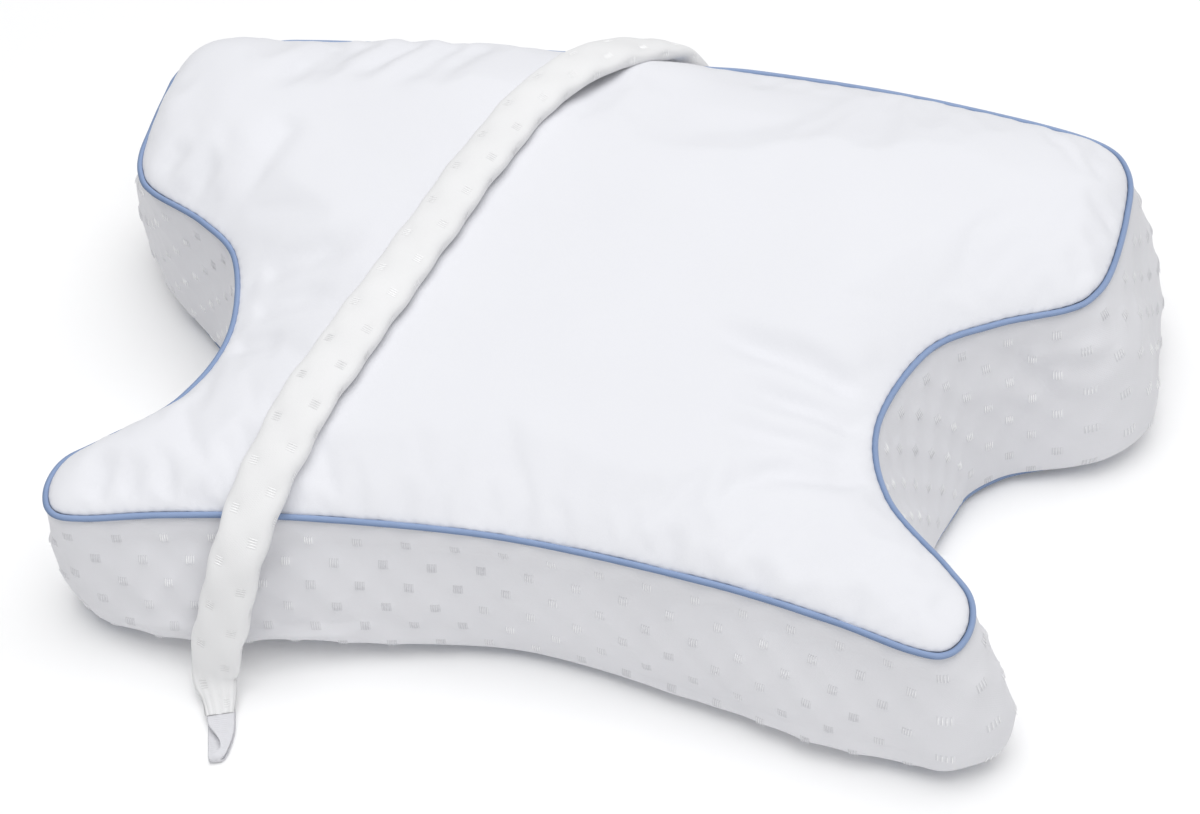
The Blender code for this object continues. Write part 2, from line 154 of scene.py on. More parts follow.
# Patches of painted glints on the woven squares: their size, and the noise values over which they fade in.
GLINT_SCALE = 11.0
GLINT_FROM = 0.42
GLINT_TO = 0.62
TWILL_PITCH = 0.0009
TWILL_GRAIN = 0.35
TWILL_RIB_LIGHT = 0.15
# Painted light and shade of the piping: its swing from dark to pale round the cord, its middle, and the
# whitening of the painted highlight.
TWILL_PAINTED_LIGHT_SWING = 0.62
TWILL_PAINTED_LIGHT_BASE = 0.14
TWILL_HIGHLIGHT_WHITENED = 0.12
RIBBON_RIB = 0.0007

# Settling of the filled cushion as cloth under pressure.
SETTLE_FRAMES = 20
SETTLE_PRESSURE = 4.0
SETTLE_CAP = 0.0050
SETTLE_START = 0.95
SETTLE_FREE_FROM = 0.12
SETTLE_FREE_TO = 0.60
SETTLE_SMOOTHINGS = 12

# Plan, from the middle of the back edge to the middle of the front edge. The two sides share a row.
# name, x, y of the top seam, pull of the right side towards the middle, bulge of the gusset on the left
# and on the right, outward lean of the bottom seam on the left and on the right
PLAN = (
    ("back middle", 0.0000, 0.1642, 0.000, 0.0160, 0.0160, 0.0000, 0.0000),
    ("back quarter", 0.1050, 0.1604, 0.000, 0.0160, 0.0170, 0.0000, 0.0000),
    ("back shoulder", 0.1815, 0.1499, 0.000, 0.0190, 0.0210, 0.0000, 0.0000),
    ("far ear corner", 0.2292, 0.1374, 0.000, 0.0240, 0.0260, 0.0000, 0.0010),
    ("far ear outer", 0.2454, 0.1183, 0.000, 0.0280, 0.0230, 0.0010, 0.0010),
    ("far ear side", 0.2483, 0.0916, 0.000, 0.0285, 0.0190, 0.0010, 0.0065),
    ("far ear tip", 0.2464, 0.0600, 0.000, 0.0140, 0.0185, -0.0060, 0.0120),
    ("far ear turn", 0.2410, 0.0430, 0.000, 0.0060, 0.0180, -0.0085, 0.0080),
    ("far ear inside", 0.2300, 0.0322, 0.000, 0.0055, 0.0125, -0.0095, 0.0055),
    ("cut-out top", 0.1985, 0.0180, 0.000, 0.0035, 0.0055, 0.0030, 0.0080),
    ("cut-out shoulder", 0.1735, -0.0030, 0.003, 0.0030, 0.0055, 0.0155, 0.0190),
    ("cut-out waist", 0.1604, -0.0478, 0.004, 0.0045, 0.0065, 0.0195, 0.0220),
    ("cut-out low", 0.1706, -0.0868, 0.002, 0.0040, 0.0065, 0.0140, 0.0180),
    ("near ear inside", 0.2010, -0.1180, 0.000, 0.0060, 0.0100, 0.0030, 0.0090),
    ("near ear turn", 0.2140, -0.1325, 0.000, 0.0085, 0.0135, -0.0025, 0.0030),
    ("near ear tip", 0.2162, -0.1490, 0.000, 0.0095, 0.0195, -0.0040, 0.0040),
    ("near ear corner", 0.2090, -0.1615, 0.000, 0.0055, 0.0150, -0.0075, -0.0010),
    ("near ear front", 0.1930, -0.1622, 0.000, 0.0125, 0.0135, -0.0035, -0.0005),
    ("front shoulder", 0.1550, -0.1534, 0.000, 0.0240, 0.0200, 0.0020, 0.0025),
    ("front quarter", 0.0955, -0.1440, 0.000, 0.0225, 0.0175, 0.0025, 0.0000),
    ("front middle", 0.0000, -0.1376, 0.000, 0.0135, 0.0135, -0.0025, -0.0025),
)
SPLINE_STEPS = 40

# Creases of the top panel: name, start x, y, end x, y, half width, depth. The short ones are gathers at
# the seam.
CREASES = (
    ("back fold a", -0.160, 0.147, -0.186, 0.086, 0.0075, 0.0034),
    ("back fold b", -0.142, 0.150, -0.172, 0.096, 0.0070, 0.0028),
    ("back fold c", -0.118, 0.152, -0.150, 0.097, 0.0075, 0.0034),
    ("back fold d", -0.098, 0.154, -0.124, 0.094, 0.0070, 0.0030),
    ("back fold e", -0.080, 0.154, -0.108, 0.103, 0.0065, 0.0024),
    ("left long fold", -0.164, 0.077, -0.177, 0.014, 0.0080, 0.0022),
    ("left waist fold a", -0.158, -0.018, -0.100, 0.006, 0.0095, 0.0032),
    ("left waist fold b", -0.154, -0.040, -0.106, -0.022, 0.0090, 0.0028),
    ("left waist fold c", -0.156, -0.060, -0.122, -0.053, 0.0070, 0.0030),
    ("right waist fold a", 0.153, -0.038, 0.060, -0.020, 0.0080, 0.0040),
    ("right waist fold b", 0.155, -0.056, 0.092, -0.048, 0.0075, 0.0038),
    ("right waist fold c", 0.157, -0.071, 0.078, -0.074, 0.0080, 0.0036),
    ("right waist fold d", 0.162, -0.085, 0.094, -0.092, 0.0070, 0.0030),
    ("near ear pucker a", -0.190, -0.156, -0.187, -0.128, 0.0055, 0.0024),
    ("near ear pucker b", -0.175, -0.152, -0.173, -0.130, 0.0055, 0.0020),
    ("near ear pucker c", -0.158, -0.148, -0.157, -0.127, 0.0050, 0.0018),
    ("far corner pucker a", -0.228, 0.040, -0.212, 0.056, 0.0055, 0.0022),
    ("far corner pucker b", -0.206, 0.030, -0.196, 0.050, 0.0055, 0.0020),
    ("front gather a", -0.066, -0.142, -0.064, -0.126, 0.0042, 0.0008),
    ("front gather b", -0.047, -0.141, -0.045, -0.122, 0.0046, 0.0010),
    ("front gather c", -0.029, -0.140, -0.028, -0.124, 0.0040, 0.0007),
    ("front gather d", 0.012, -0.139, 0.013, -0.122, 0.0045, 0.0009),
    ("front gather e", 0.030, -0.140, 0.032, -0.125, 0.0040, 0.0007),
    ("front gather f", 0.083, -0.144, 0.080, -0.127, 0.0044, 0.0011),
    ("front gather g", 0.124, -0.150, 0.120, -0.131, 0.0046, 0.0012),
    ("near right gather a", 0.168, -0.157, 0.163, -0.139, 0.0046, 0.0013),
    ("near right gather b", 0.210, -0.146, 0.196, -0.141, 0.0046, 0.0013),
    ("far right gather a", 0.243, 0.084, 0.226, 0.082, 0.0044, 0.0012),
    ("far right gather b", 0.242, 0.069, 0.225, 0.066, 0.0044, 0.0013),
    ("far right gather c", 0.238, 0.049, 0.222, 0.055, 0.0046, 0.0012),
    ("far right gather d", 0.238, 0.124, 0.221, 0.114, 0.0046, 0.0010),
    ("back gather a", 0.060, 0.158, 0.058, 0.141, 0.0046, 0.0010),
    ("back gather b", 0.128, 0.154, 0.122, 0.137, 0.0046, 0.0011),
    ("far left gather", -0.243, 0.092, -0.225, 0.089, 0.0046, 0.0012),
)
CREASE_GAIN = 1.80

# Lengths of the seam where the panel swells over its piping: name, middle x, y, half length, share
FULL_RIMS = (
    ("back left", -0.110, 0.159, 0.075, 1.00),
    ("back middle", 0.000, 0.163, 0.036, 1.00),
    ("far left corner", -0.232, 0.134, 0.036, 0.85),
    ("far left side", -0.248, 0.088, 0.024, 0.75),
    ("near left ear", -0.192, -0.110, 0.030, 0.85),
)
RIM_QUICKENING = 0.55

# Folds of the gusset: name, seam x, y and share down where it starts, the same where it ends, half width,
# depth
GUSSET_FOLDS = (
    ("right ear fold a", 0.2120, 0.0270, 0.13, 0.2420, 0.0440, 0.15, 0.0045, 0.0032),
    ("right ear fold b", 0.2220, 0.0300, 0.25, 0.2440, 0.0520, 0.26, 0.0060, 0.0028),
    ("right ear fold c", 0.2400, 0.0420, 0.16, 0.2480, 0.0950, 0.34, 0.0060, 0.0012),
    ("right ear fold d", 0.2450, 0.0540, 0.34, 0.2480, 0.1000, 0.52, 0.0070, 0.0008),
    ("right cut-out fold", 0.1880, 0.0110, 0.20, 0.2200, 0.0290, 0.34, 0.0060, 0.0022),
    ("near right corner fold", 0.2130, -0.1570, 0.08, 0.2050, -0.1620, 0.85, 0.0045, 0.0016),
    ("near right front fold", 0.1300, -0.1500, 0.12, 0.1130, -0.1460, 0.50, 0.0090, 0.0016),
    ("front fold a", 0.0900, -0.1430, 0.10, 0.0640, -0.1400, 0.55, 0.0090, 0.0014),
    ("front fold b", -0.0300, -0.1385, 0.10, -0.0440, -0.1395, 0.50, 0.0090, 0.0012),
    ("left front fold", -0.1780, -0.1590, 0.15, -0.1620, -0.1550, 0.60, 0.0090, 0.0014),
    ("left ear fold", -0.2450, 0.0540, 0.15, -0.2480, 0.0960, 0.42, 0.0070, 0.0016),
)

# Shares of their lengths over which creases and folds fade in and out, and the lumps of the filling.
CREASE_FADE_IN = 0.18
CREASE_FADE_OUT = 0.45
FOLD_OVERRUN = 0.15
FOLD_FADE_IN = 0.30
FOLD_FADE_OUT = 0.40
FILL_LUMP_WAVE = 0.075
FILL_LUMP_RISE = 0.0009
FILL_LUMP_LAYER = 0.7

# Tether, from its sewn root on the back gusset to its gathered free end on the surface.
# name, x, y, z of its middle (None: it lies on the top panel), lean of its flat face from up towards
# the front in degrees, width, thickness
TETHER = (
    ("root", 0.0180, 0.1818, 0.0300, -94.0, 0.0120, 0.0050),
    ("root widens", 0.0172, 0.1868, 0.0450, -92.0, 0.0200, 0.0090),
    ("up the back", 0.0150, 0.1870, 0.0670, -84.0, 0.0235, 0.0120),
    ("under the edge", 0.0100, 0.1820, 0.0945, -70.0, 0.0250, 0.0120),
    ("over the edge", 0.0025, 0.1742, 0.1120, -48.0, 0.0260, 0.0112),
    ("over the piping", -0.0070, 0.1605, 0.1240, -24.0, 0.0265, 0.0108),
    ("back lobe", -0.0215, 0.1400, 0.1340, -8.0, 0.0262, 0.0110),
    ("back third", -0.0418, 0.1060, None, 0.0, 0.0248, 0.0115),
    ("behind middle", -0.0589, 0.0550, None, 2.0, 0.0250, 0.0115),
    ("middle", -0.0738, 0.0000, None, 2.0, 0.0256, 0.0115),
    ("before middle", -0.0871, -0.0500, None, 3.0, 0.0268, 0.0115),
    ("front third", -0.0995, -0.0960, None, 6.0, 0.0274, 0.0115),
    ("front lobe", -0.1064, -0.1240, None, 18.0, 0.0268, 0.0120),
    ("over front piping", -0.1106, -0.1466, 0.0915, 50.0, 0.0258, 0.0125),
    ("front edge", -0.1140, -0.1625, 0.0800, 68.0, 0.0248, 0.0130),
    ("down the front", -0.1190, -0.1745, 0.0590, 82.0, 0.0248, 0.0130),
    ("low on the front", -0.1266, -0.1822, 0.0320, 74.0, 0.0250, 0.0125),
    ("meets the surface", -0.1295, -0.1880, 0.0130, 40.0, 0.0232, 0.0085),
    ("on the surface", -0.1263, -0.1958, 0.0062, 12.0, 0.0165, 0.0070),
    ("gathered end", -0.1229, -0.2042, 0.0041, 0.0, 0.0120, 0.0060),
)
TETHER_LIFT = 0.0002
TETHER_STATIONS = 300
TETHER_SIDES = 42
TETHER_GIRTH = 0.0620
TETHER_SQUARES_ROUND = 3
TETHER_ROUND_REPEAT = TETHER_GIRTH / TETHER_SQUARES_ROUND
TETHER_SQUARENESS = 2.3
TETHER_WAVE = 0.0003
TETHER_WAVE_LENGTH = 0.047
TETHER_PUFF_SHARE = 0.9
TETHER_FLAT_END = 0.0120
TETHER_END_THICK = 0.36
TETHER_END_SPREAD = 0.0008
TETHER_END_FADE = 0.02
TETHER_GATHERS = 7
TETHER_GATHER_DEPTH = 0.0009
TETHER_GATHER_REACH = 0.035
TETHER_PRESS = 0.0020
TETHER_PRESS_WIDTH = 0.0160
TETHER_PRESSES_ABOVE_Z = 0.085
ABOVE_ALL_Z = 0.5

# Ribbon loop at the tether's free end.
TAB_LENGTH = 0.0235
TAB_WIDTH = 0.0128
TAB_HEIGHT = 0.0038
TAB_RIBBON = 0.0008
TAB_HELD = 0.0060
TAB_FULL = TAB_LENGTH + TAB_HELD
TAB_TAPER = 0.42
TAB_TAPER_FROM = 0.35
TAB_TAPER_POWER = 1.6
TAB_SKEW = 0.62
TAB_SKEW_FROM = 0.20
TAB_SKEW_FULL = 0.80
TAB_SKEW_TO = 0.97
TAB_NOSE_FROM = 0.88
TAB_NOSE_ROUND = 0.0026
TAB_HEADING_DEG = -69.0
TAB_START = (-0.1218, -0.2060)
TAB_LIFT = 0.0003
TAB_STEPS_ROUND = 48
TAB_STEPS_ACROSS = 16

# Camera of the photograph: turned about the cushion, raised, rolled, and at a distance from its target.
CAMERA_TURN_DEG = 20.0
CAMERA_RAISE_DEG = 45.5
CAMERA_ROLL_DEG = 6.5
CAMERA_DISTANCE = 1.337
CAMERA_TARGET = (0.0149, -0.0230, 0.0525)
CAMERA_LENS_MM = 83.08
CAMERA_SENSOR_MM = 36.0

# Places and sizes of the two soft lights, colour of the dome and half width of the floor.
LIGHT_TARGET = (0.0, 0.0, 0.05)
OVERHEAD_PLACE = (0.22, 0.00, 2.6)
OVERHEAD_SIZE = 2.8
FRONT_PLACE = (0.45, -1.65, 0.40)
FRONT_SIZE = 0.7
DOME_COLOUR = (0.98, 0.985, 1.0, 1.0)
FLOOR_REACH = 6


class CushionSettings(bpy.types.PropertyGroup):
    """Sizes of the filled cushion and its cloth."""

    crown: bpy.props.FloatProperty(
        name="Crown", description="How full the top panel is, as a share of its crown",
        default=1.0, min=0.5, max=1.3, subtype="FACTOR")
    bulge: bpy.props.FloatProperty(
        name="Gusset bulge", description="How full the gusset is, as a share of its bulge",
        default=1.0, min=0.3, max=1.3, subtype="FACTOR")
    piping_radius: bpy.props.FloatProperty(
        name="Piping radius", description="Radius of the covered cord along both seams",
        default=0.0015, min=0.001, max=0.004, unit="LENGTH", precision=4)
    repeat: bpy.props.FloatProperty(
        name="Jacquard repeat", description="Distance between two woven squares along the seam",
        default=0.0230, min=0.010, max=0.060, unit="LENGTH", precision=4)
    puff: bpy.props.FloatProperty(
        name="Jacquard puff", description="Height of the puffed diamonds of the knit",
        default=0.0009, min=0.0, max=0.003, unit="LENGTH", precision=4)
    bar_length: bpy.props.FloatProperty(
        name="Woven bar length", description="Length of a raised thread bar in a woven square",
        default=0.0044, min=0.001, max=0.010, unit="LENGTH", precision=4)


class ColourSettings(bpy.types.PropertyGroup):
    """Colours of the cloths."""

    microfibre: bpy.props.FloatVectorProperty(
        name="Top panel", description="Colour of the smooth top panel",
        default=(0.790, 0.795, 0.828), subtype="COLOR", min=0.0, max=1.0)
    knit: bpy.props.FloatVectorProperty(
        name="Gusset knit", description="Colour of the jacquard knit",
        default=(0.760, 0.760, 0.787), subtype="COLOR", min=0.0, max=1.0)
    tether: bpy.props.FloatVectorProperty(
        name="Tether knit", description="Colour of the tether's knit",
        default=(0.825, 0.825, 0.828), subtype="COLOR", min=0.0, max=1.0)
    piping: bpy.props.FloatVectorProperty(
        name="Piping", description="Colour of the twill over the piping cord",
        default=(0.215, 0.335, 0.600), subtype="COLOR", min=0.0, max=1.0)
    ribbon: bpy.props.FloatVectorProperty(
        name="Ribbon", description="Colour of the ribbon at the tether's end",
        default=(0.690, 0.690, 0.720), subtype="COLOR", min=0.0, max=1.0)


class StageSettings(bpy.types.PropertyGroup):
    """Floor and light."""

    floor: bpy.props.FloatVectorProperty(
        name="Floor", description="Colour of the floor",
        default=(0.94, 0.94, 0.94), subtype="COLOR", min=0.0, max=1.0)
    floor_glow: bpy.props.FloatProperty(
        name="Floor glow", description="Light given off by the floor, as a lit white table does",
        default=0.04, min=0.0, max=2.0)
    dome: bpy.props.FloatProperty(
        name="Dome", description="Strength of the even light from all round",
        default=0.42, min=0.0, max=5.0)
    overhead: bpy.props.FloatProperty(
        name="Overhead light", description="Power of the large soft light above",
        default=59.5, min=0.0, max=500.0, unit="POWER")
    front: bpy.props.FloatProperty(
        name="Front light", description="Power of the low soft light in front",
        default=2.4, min=0.0, max=500.0, unit="POWER")


# Plan and section of the cushion


def eased(share):
    """Smooth start and stop of a share between 0 and 1."""
    return share * share * (3 - 2 * share)


def between(start, end, share):
    return start * (1 - share) + end * share


def spline(rows, u, closed):
    """Catmull-Rom value of a table of rows at the whole-and-part index u."""
    count = len(rows)
    i = int(math.floor(u))
    t = u - i
    picks = []
    for k in (i - 1, i, i + 1, i + 2):
        picks.append(rows[k % count] if closed else rows[min(max(k, 0), count - 1)])
    a, b, c, d = (np.asarray(p, float) for p in picks)
    return 0.5 * ((2 * b) + (c - a) * t + (2 * a - 5 * b + 4 * c - d) * t * t
                  + (3 * b - a - 3 * c + d) * t ** 3)


@functools.cache
def plan_curve():
    """The seam as a dense closed curve of x, y, bulge and lean, with the length run at each point."""
    right = [(x - pull, y, bulge, lean) for _, x, y, pull, _, bulge, _, lean in PLAN]
    left = [(-x, y, bulge, lean) for _, x, y, _, bulge, _, lean, _ in PLAN[1:-1]]
    rows = right + left[::-1]
    dense = np.array([spline(rows, i / SPLINE_STEPS, True) for i in range(len(rows) * SPLINE_STEPS + 1)])
    run = np.concatenate([[0.0], np.cumsum(np.hypot(*np.diff(dense[:, :2], axis=0).T))])
    return dense, run


def seam_length():
    return float(plan_curve()[1][-1])


def seam_stations(count):
    """Even steps round the seam: plan points, outward normals, bulge and lean."""
    dense, run = plan_curve()
    at = run[-1] * np.arange(count) / count
    rows = np.column_stack([np.interp(at, run, dense[:, k]) for k in range(4)])
    seam = rows[:, :2]
    return seam, outward_normals(seam), rows[:, 2], rows[:, 3]


def outward_normals(loop):
    ahead = np.roll(loop, -1, axis=0) - np.roll(loop, 1, axis=0)
    ahead /= np.linalg.norm(ahead, axis=1)[:, None]
    return np.column_stack([-ahead[:, 1], ahead[:, 0]])


def seam_rise(y):
    return np.clip((y - SEAM_RISE_FROM_Y) / (SEAM_RISE_TO_Y - SEAM_RISE_FROM_Y), 0.0, 1.0)


def seam_height(y):
    return SEAM_FRONT_Z + (SEAM_BACK_Z - SEAM_FRONT_Z) * seam_rise(y)


def soft_distance(points, loop):
    """Distance to the seam, softened so that it has no ridge midway between two edges."""
    a = loop[None, :, :] - points[:, None, :]
    b = np.roll(loop, -1, axis=0)[None, :, :] - points[:, None, :]
    cross = a[..., 0] * b[..., 1] - a[..., 1] * b[..., 0]
    angle = np.arctan2(cross, (a * b).sum(axis=2))
    height = cross / np.linalg.norm(b - a, axis=2)
    safe = np.where(np.abs(height) < 1e-7, 1e-7, height)
    return math.pi / np.maximum(np.abs((angle / safe).sum(axis=1)), 1e-9)


def crease_drop(points):
    """How far the creases lower the top panel at each point."""
    drop = np.zeros(len(points))
    for _, x0, y0, x1, y1, half_width, depth in CREASES:
        start = np.array((x0, y0))
        along = np.array((x1, y1)) - start
        length = np.linalg.norm(along)
        along /= length
        rel = points - start
        t = rel @ along / length
        off = rel @ np.array((-along[1], along[0]))
        fade = np.clip(t / CREASE_FADE_IN, 0, 1) * np.clip((1 - t) / CREASE_FADE_OUT, 0, 1)
        drop += CREASE_GAIN * depth * eased(fade) * np.exp(-(off / half_width) ** 2)
    return drop


def rim_fullness(points):
    """How far the panel swells over its piping near each point, as a share."""
    full = np.zeros(len(points))
    for _, x, y, half_length, share in FULL_RIMS:
        off = ((points - (x, y)) ** 2).sum(axis=1) / half_length ** 2
        full = np.maximum(full, share * np.exp(-off ** 2))
    return full


def rim_reach(points):
    """Length over which the panel swells up from its seam."""
    return CROWN_REACH * (1 - RIM_QUICKENING * rim_fullness(points))


def fill_lumps(points, reach):
    """Soft unevenness of the filling under the top panel, none at the seam."""
    scale = 1 / FILL_LUMP_WAVE
    lumps = np.array([noise.noise(Vector((x * scale, y * scale, FILL_LUMP_LAYER))) for x, y in points])
    return FILL_LUMP_RISE * lumps * (1 - np.exp(-reach / CROWN_REACH))


def top_height(points, seam, crown):
    """Outer surface of the top panel."""
    reach = np.maximum(soft_distance(points, seam) - PANEL_INSET, 0.0)
    full = crown * (CROWN_FRONT + (CROWN_BACK - CROWN_FRONT) * seam_rise(points[:, 1]))
    swell = full * (1 - np.exp(-reach / rim_reach(points)))
    rise = seam_height(points[:, 1]) + PANEL_RIM_RISE + swell
    return rise - crease_drop(points) + fill_lumps(points, reach)


def under_height(points, foot):
    """Outer surface of the underside: flat, turned up at the rim."""
    reach = soft_distance(points, foot)
    return FOOT_SEAM_Z * np.clip(1 - reach / FOOT_TURN_UP, 0, 1) ** 2


def gusset_ring(seam, normals, bulge, lean, share, fullness):
    """One ring of the gusset, share 0 under the top piping and 1 over the bottom piping."""
    high = seam_height(seam[:, 1]) - WALL_UNDER_PIPING
    low = FOOT_SEAM_Z + WALL_UNDER_PIPING
    down = math.sin(math.pi / 2 * share)
    swell = math.sin(math.pi / 2 * min(1.0, down / BULGE_FULL_AT)) ** BULGE_ONSET
    tuck = math.sqrt(max(0.0, 1 - down ** BULGE_TUCK))
    out = lean * down + fullness * bulge * swell * tuck - WALL_TUCK_IN * (share == 0)
    return np.column_stack([seam + normals * out[:, None], high + (low - high) * down])


def inside(points, loop):
    x, y = points[:, 0][:, None], points[:, 1][:, None]
    x0, y0 = loop[:, 0][None], loop[:, 1][None]
    x1, y1 = np.roll(loop[:, 0], -1)[None], np.roll(loop[:, 1], -1)[None]
    spans = (y0 > y) != (y1 > y)
    rise = np.where(y1 == y0, 1e-12, y1 - y0)
    return (spans & (x < (x1 - x0) * (y - y0) / rise + x0)).sum(axis=1) % 2 == 1


def edge_distance(points, loop):
    run = (np.roll(loop, -1, axis=0) - loop)[None]
    rel = points[:, None] - loop[None]
    t = np.clip((rel * run).sum(axis=2) / (run ** 2).sum(axis=2), 0, 1)
    return np.linalg.norm(rel - t[..., None] * run, axis=2).min(axis=1)


def fill_outline(loop, spacing):
    """Plan points and triangles that fill an outline. The outline comes first, then a row and a grid."""
    rim = loop - outward_normals(loop) * PANEL_RIM_ROW
    rim = rim[edge_distance(rim, loop) > RIM_ROW_CLOSENESS]
    low, high = loop.min(axis=0), loop.max(axis=0)
    row_step = spacing * math.sqrt(3) / 2
    grid = []
    for j in range(int((high[1] - low[1]) / row_step) + 1):
        shift = spacing / 2 if j % 2 else 0.0
        for i in range(int((high[0] - low[0]) / spacing) + 1):
            grid.append((low[0] + shift + i * spacing, low[1] + j * row_step))
    grid = np.array(grid)
    grid = grid[inside(grid, loop)]
    grid = grid[edge_distance(grid, loop) > PANEL_RIM_ROW + spacing * GRID_CLOSENESS_SHARE]
    flat = [Vector((float(x), float(y))) for x, y in np.vstack([loop, rim, grid])]
    outline = [list(range(len(loop)))]
    verts, _, faces, *_ = delaunay_2d_cdt(flat, [], outline, FILL_INSIDE_ONLY, WELD_DISTANCE)
    return np.array([tuple(v) for v in verts]), [tuple(f) for f in faces]


# Meshes


def add_object(name, data):
    """An object with this data, in the scene."""
    obj = bpy.data.objects.new(name, data)
    bpy.context.scene.collection.objects.link(obj)
    return obj


def add_mesh(name, verts, faces, material, uvs=None):
    """A smooth mesh object at the origin. uvs, where given, holds one pair for each corner, in metres."""
    mesh = bpy.data.meshes.new(name)
    mesh.from_pydata([tuple(map(float, v)) for v in verts], [], [tuple(map(int, f)) for f in faces])
    if uvs is not None:
        layer = mesh.uv_layers.new(name="cloth")
        layer.data.foreach_set("uv", np.asarray(uvs, np.float32).ravel())
    mesh.shade_smooth()
    mesh.materials.append(material)
    return add_object(name, mesh)


def face_outwards(obj):
    bm = bmesh.new()
    bm.from_mesh(obj.data)
    bmesh.ops.recalc_face_normals(bm, faces=bm.faces)
    bm.to_mesh(obj.data)
    bm.free()


def settle(verts, faces, held, free):
    """Moves of the closed shell put under pressure as cloth. free holds each point's share of its move."""
    mesh = bpy.data.meshes.new("settling_shell")
    mesh.from_pydata([tuple(v) for v in verts], [], faces)
    shell = add_object("settling_shell", mesh)
    scene = bpy.context.scene
    shell.vertex_groups.new(name="sewn").add([int(i) for i in held], 1.0, "REPLACE")
    cloth = shell.modifiers.new("Cloth", "CLOTH")
    cloth.settings.quality = 6
    cloth.settings.mass = 0.3
    cloth.settings.tension_stiffness = 15
    cloth.settings.compression_stiffness = 15
    cloth.settings.shear_stiffness = 8
    cloth.settings.bending_stiffness = 0.6
    cloth.settings.use_pressure = True
    cloth.settings.uniform_pressure_force = SETTLE_PRESSURE
    cloth.settings.vertex_group_mass = "sewn"
    cloth.settings.shrink_min = -0.012
    cloth.settings.effector_weights.gravity = 0
    cloth.collision_settings.use_collision = False
    cloth.point_cache.frame_start = 1
    cloth.point_cache.frame_end = SETTLE_FRAMES
    for step in range(1, SETTLE_FRAMES + 1):
        scene.frame_set(step)
    settled = shell.evaluated_get(bpy.context.evaluated_depsgraph_get()).to_mesh()
    points = np.empty(len(settled.vertices) * 3)
    settled.vertices.foreach_get("co", points)
    bpy.data.objects.remove(shell, do_unlink=True)
    scene.frame_set(1)
    move = points.reshape(-1, 3) - verts
    size = np.linalg.norm(move, axis=1)[:, None]
    return move * free[:, None] * np.minimum(1.0, SETTLE_CAP / np.maximum(size, 1e-9))


def smoothed_round(rings):
    """The rings' moves without the short puckers along them."""
    for _ in range(SETTLE_SMOOTHINGS):
        rings = (np.roll(rings, 1, axis=1) + 2 * rings + np.roll(rings, -1, axis=1)) / 4
    return rings


@functools.cache
def cushion_shell(crown, bulge_share):
    """The filled cushion as settled: top and underside points with their triangles, and gusset rings."""
    seam, normals, bulge, lean = seam_stations(SHELL_STEPS_ROUND)
    foot = seam + normals * lean[:, None]
    top_plan, top_faces = fill_outline(seam - normals * PANEL_INSET, TOP_SPACING)
    under_plan, under_faces = fill_outline(foot - normals * PANEL_INSET, UNDER_SPACING)
    start = SETTLE_START
    top = np.column_stack([top_plan, top_height(top_plan, seam, crown * start)])
    under = np.column_stack([under_plan, under_height(under_plan, foot)])
    shares = np.arange(SHELL_STEPS_DOWN + 1) / SHELL_STEPS_DOWN
    rings = np.array([gusset_ring(seam, normals, bulge, lean, s, bulge_share * start) for s in shares])
    verts = np.vstack([top, rings.reshape(-1, 3), under])
    faces = shell_faces(top, top_faces, rings, under_faces)
    count, first_under = SHELL_STEPS_ROUND, len(top) + rings.shape[0] * rings.shape[1]
    held = list(range(count)) + list(range(len(top), len(top) + count))
    held += list(range(first_under - count, len(verts)))
    fades = np.clip(shares / SETTLE_FREE_FROM, 0, 1)
    fades = fades * np.clip((1 - shares) / (1 - SETTLE_FREE_TO), 0, 1)
    free = np.concatenate([np.ones(len(top)), np.repeat(fades, count), np.zeros(len(under))])
    moves = settle(verts, faces, held, free)
    top = top + moves[:len(top)]
    rings = rings + smoothed_round(moves[len(top):first_under].reshape(rings.shape))
    print("settled: points moved by", np.abs(moves).mean(axis=0).round(5))
    return top, top_faces, rings, under, under_faces


def shell_faces(top, top_faces, rings, under_faces):
    """Faces of the closed shell: top, a band down to each ring, underside."""
    count = SHELL_STEPS_ROUND
    faces = list(top_faces)
    bands = [0] + [len(top) + k * count for k in range(len(rings))]
    first_under = len(top) + len(rings) * count
    for above, below in zip(bands, bands[1:] + [first_under]):
        for k in range(count):
            n = (k + 1) % count
            faces.append((above + n, above + k, below + k, below + n))
    return faces + [tuple(i + first_under for i in reversed(f)) for f in under_faces]


def resample_rings(rings, steps_down, times_round):
    """A finer grid through the gusset's rings, smooth both ways."""
    def weights(t):
        return np.array([-t + 2 * t * t - t ** 3, 2 - 5 * t * t + 3 * t ** 3,
                         t + 4 * t * t - 3 * t ** 3, -t * t + t ** 3]) / 2
    last = len(rings) - 1
    fine = []
    for k in range(steps_down + 1):
        at = last * k / steps_down
        i = min(int(at), last - 1)
        w = weights(at - i)
        picks = [rings[min(max(i + j, 0), last)] for j in (-1, 0, 1, 2)]
        fine.append(sum(a * b for a, b in zip(w, picks)))
    fine = np.array(fine)
    out = np.empty((fine.shape[0], fine.shape[1] * times_round, 3))
    for j in range(times_round):
        w = weights(j / times_round)
        out[:, j::times_round] = sum(a * np.roll(fine, shift, axis=1)
                                     for a, shift in zip(w, (1, 0, -1, -2)))
    return out


def grid_normals(grid):
    """Outward normals of a gusset grid that closes on itself sideways."""
    across = np.roll(grid, -1, axis=1) - np.roll(grid, 1, axis=1)
    down = np.gradient(grid, axis=0)
    out = np.cross(down, across)
    return out / np.maximum(np.linalg.norm(out, axis=2), 1e-12)[..., None]


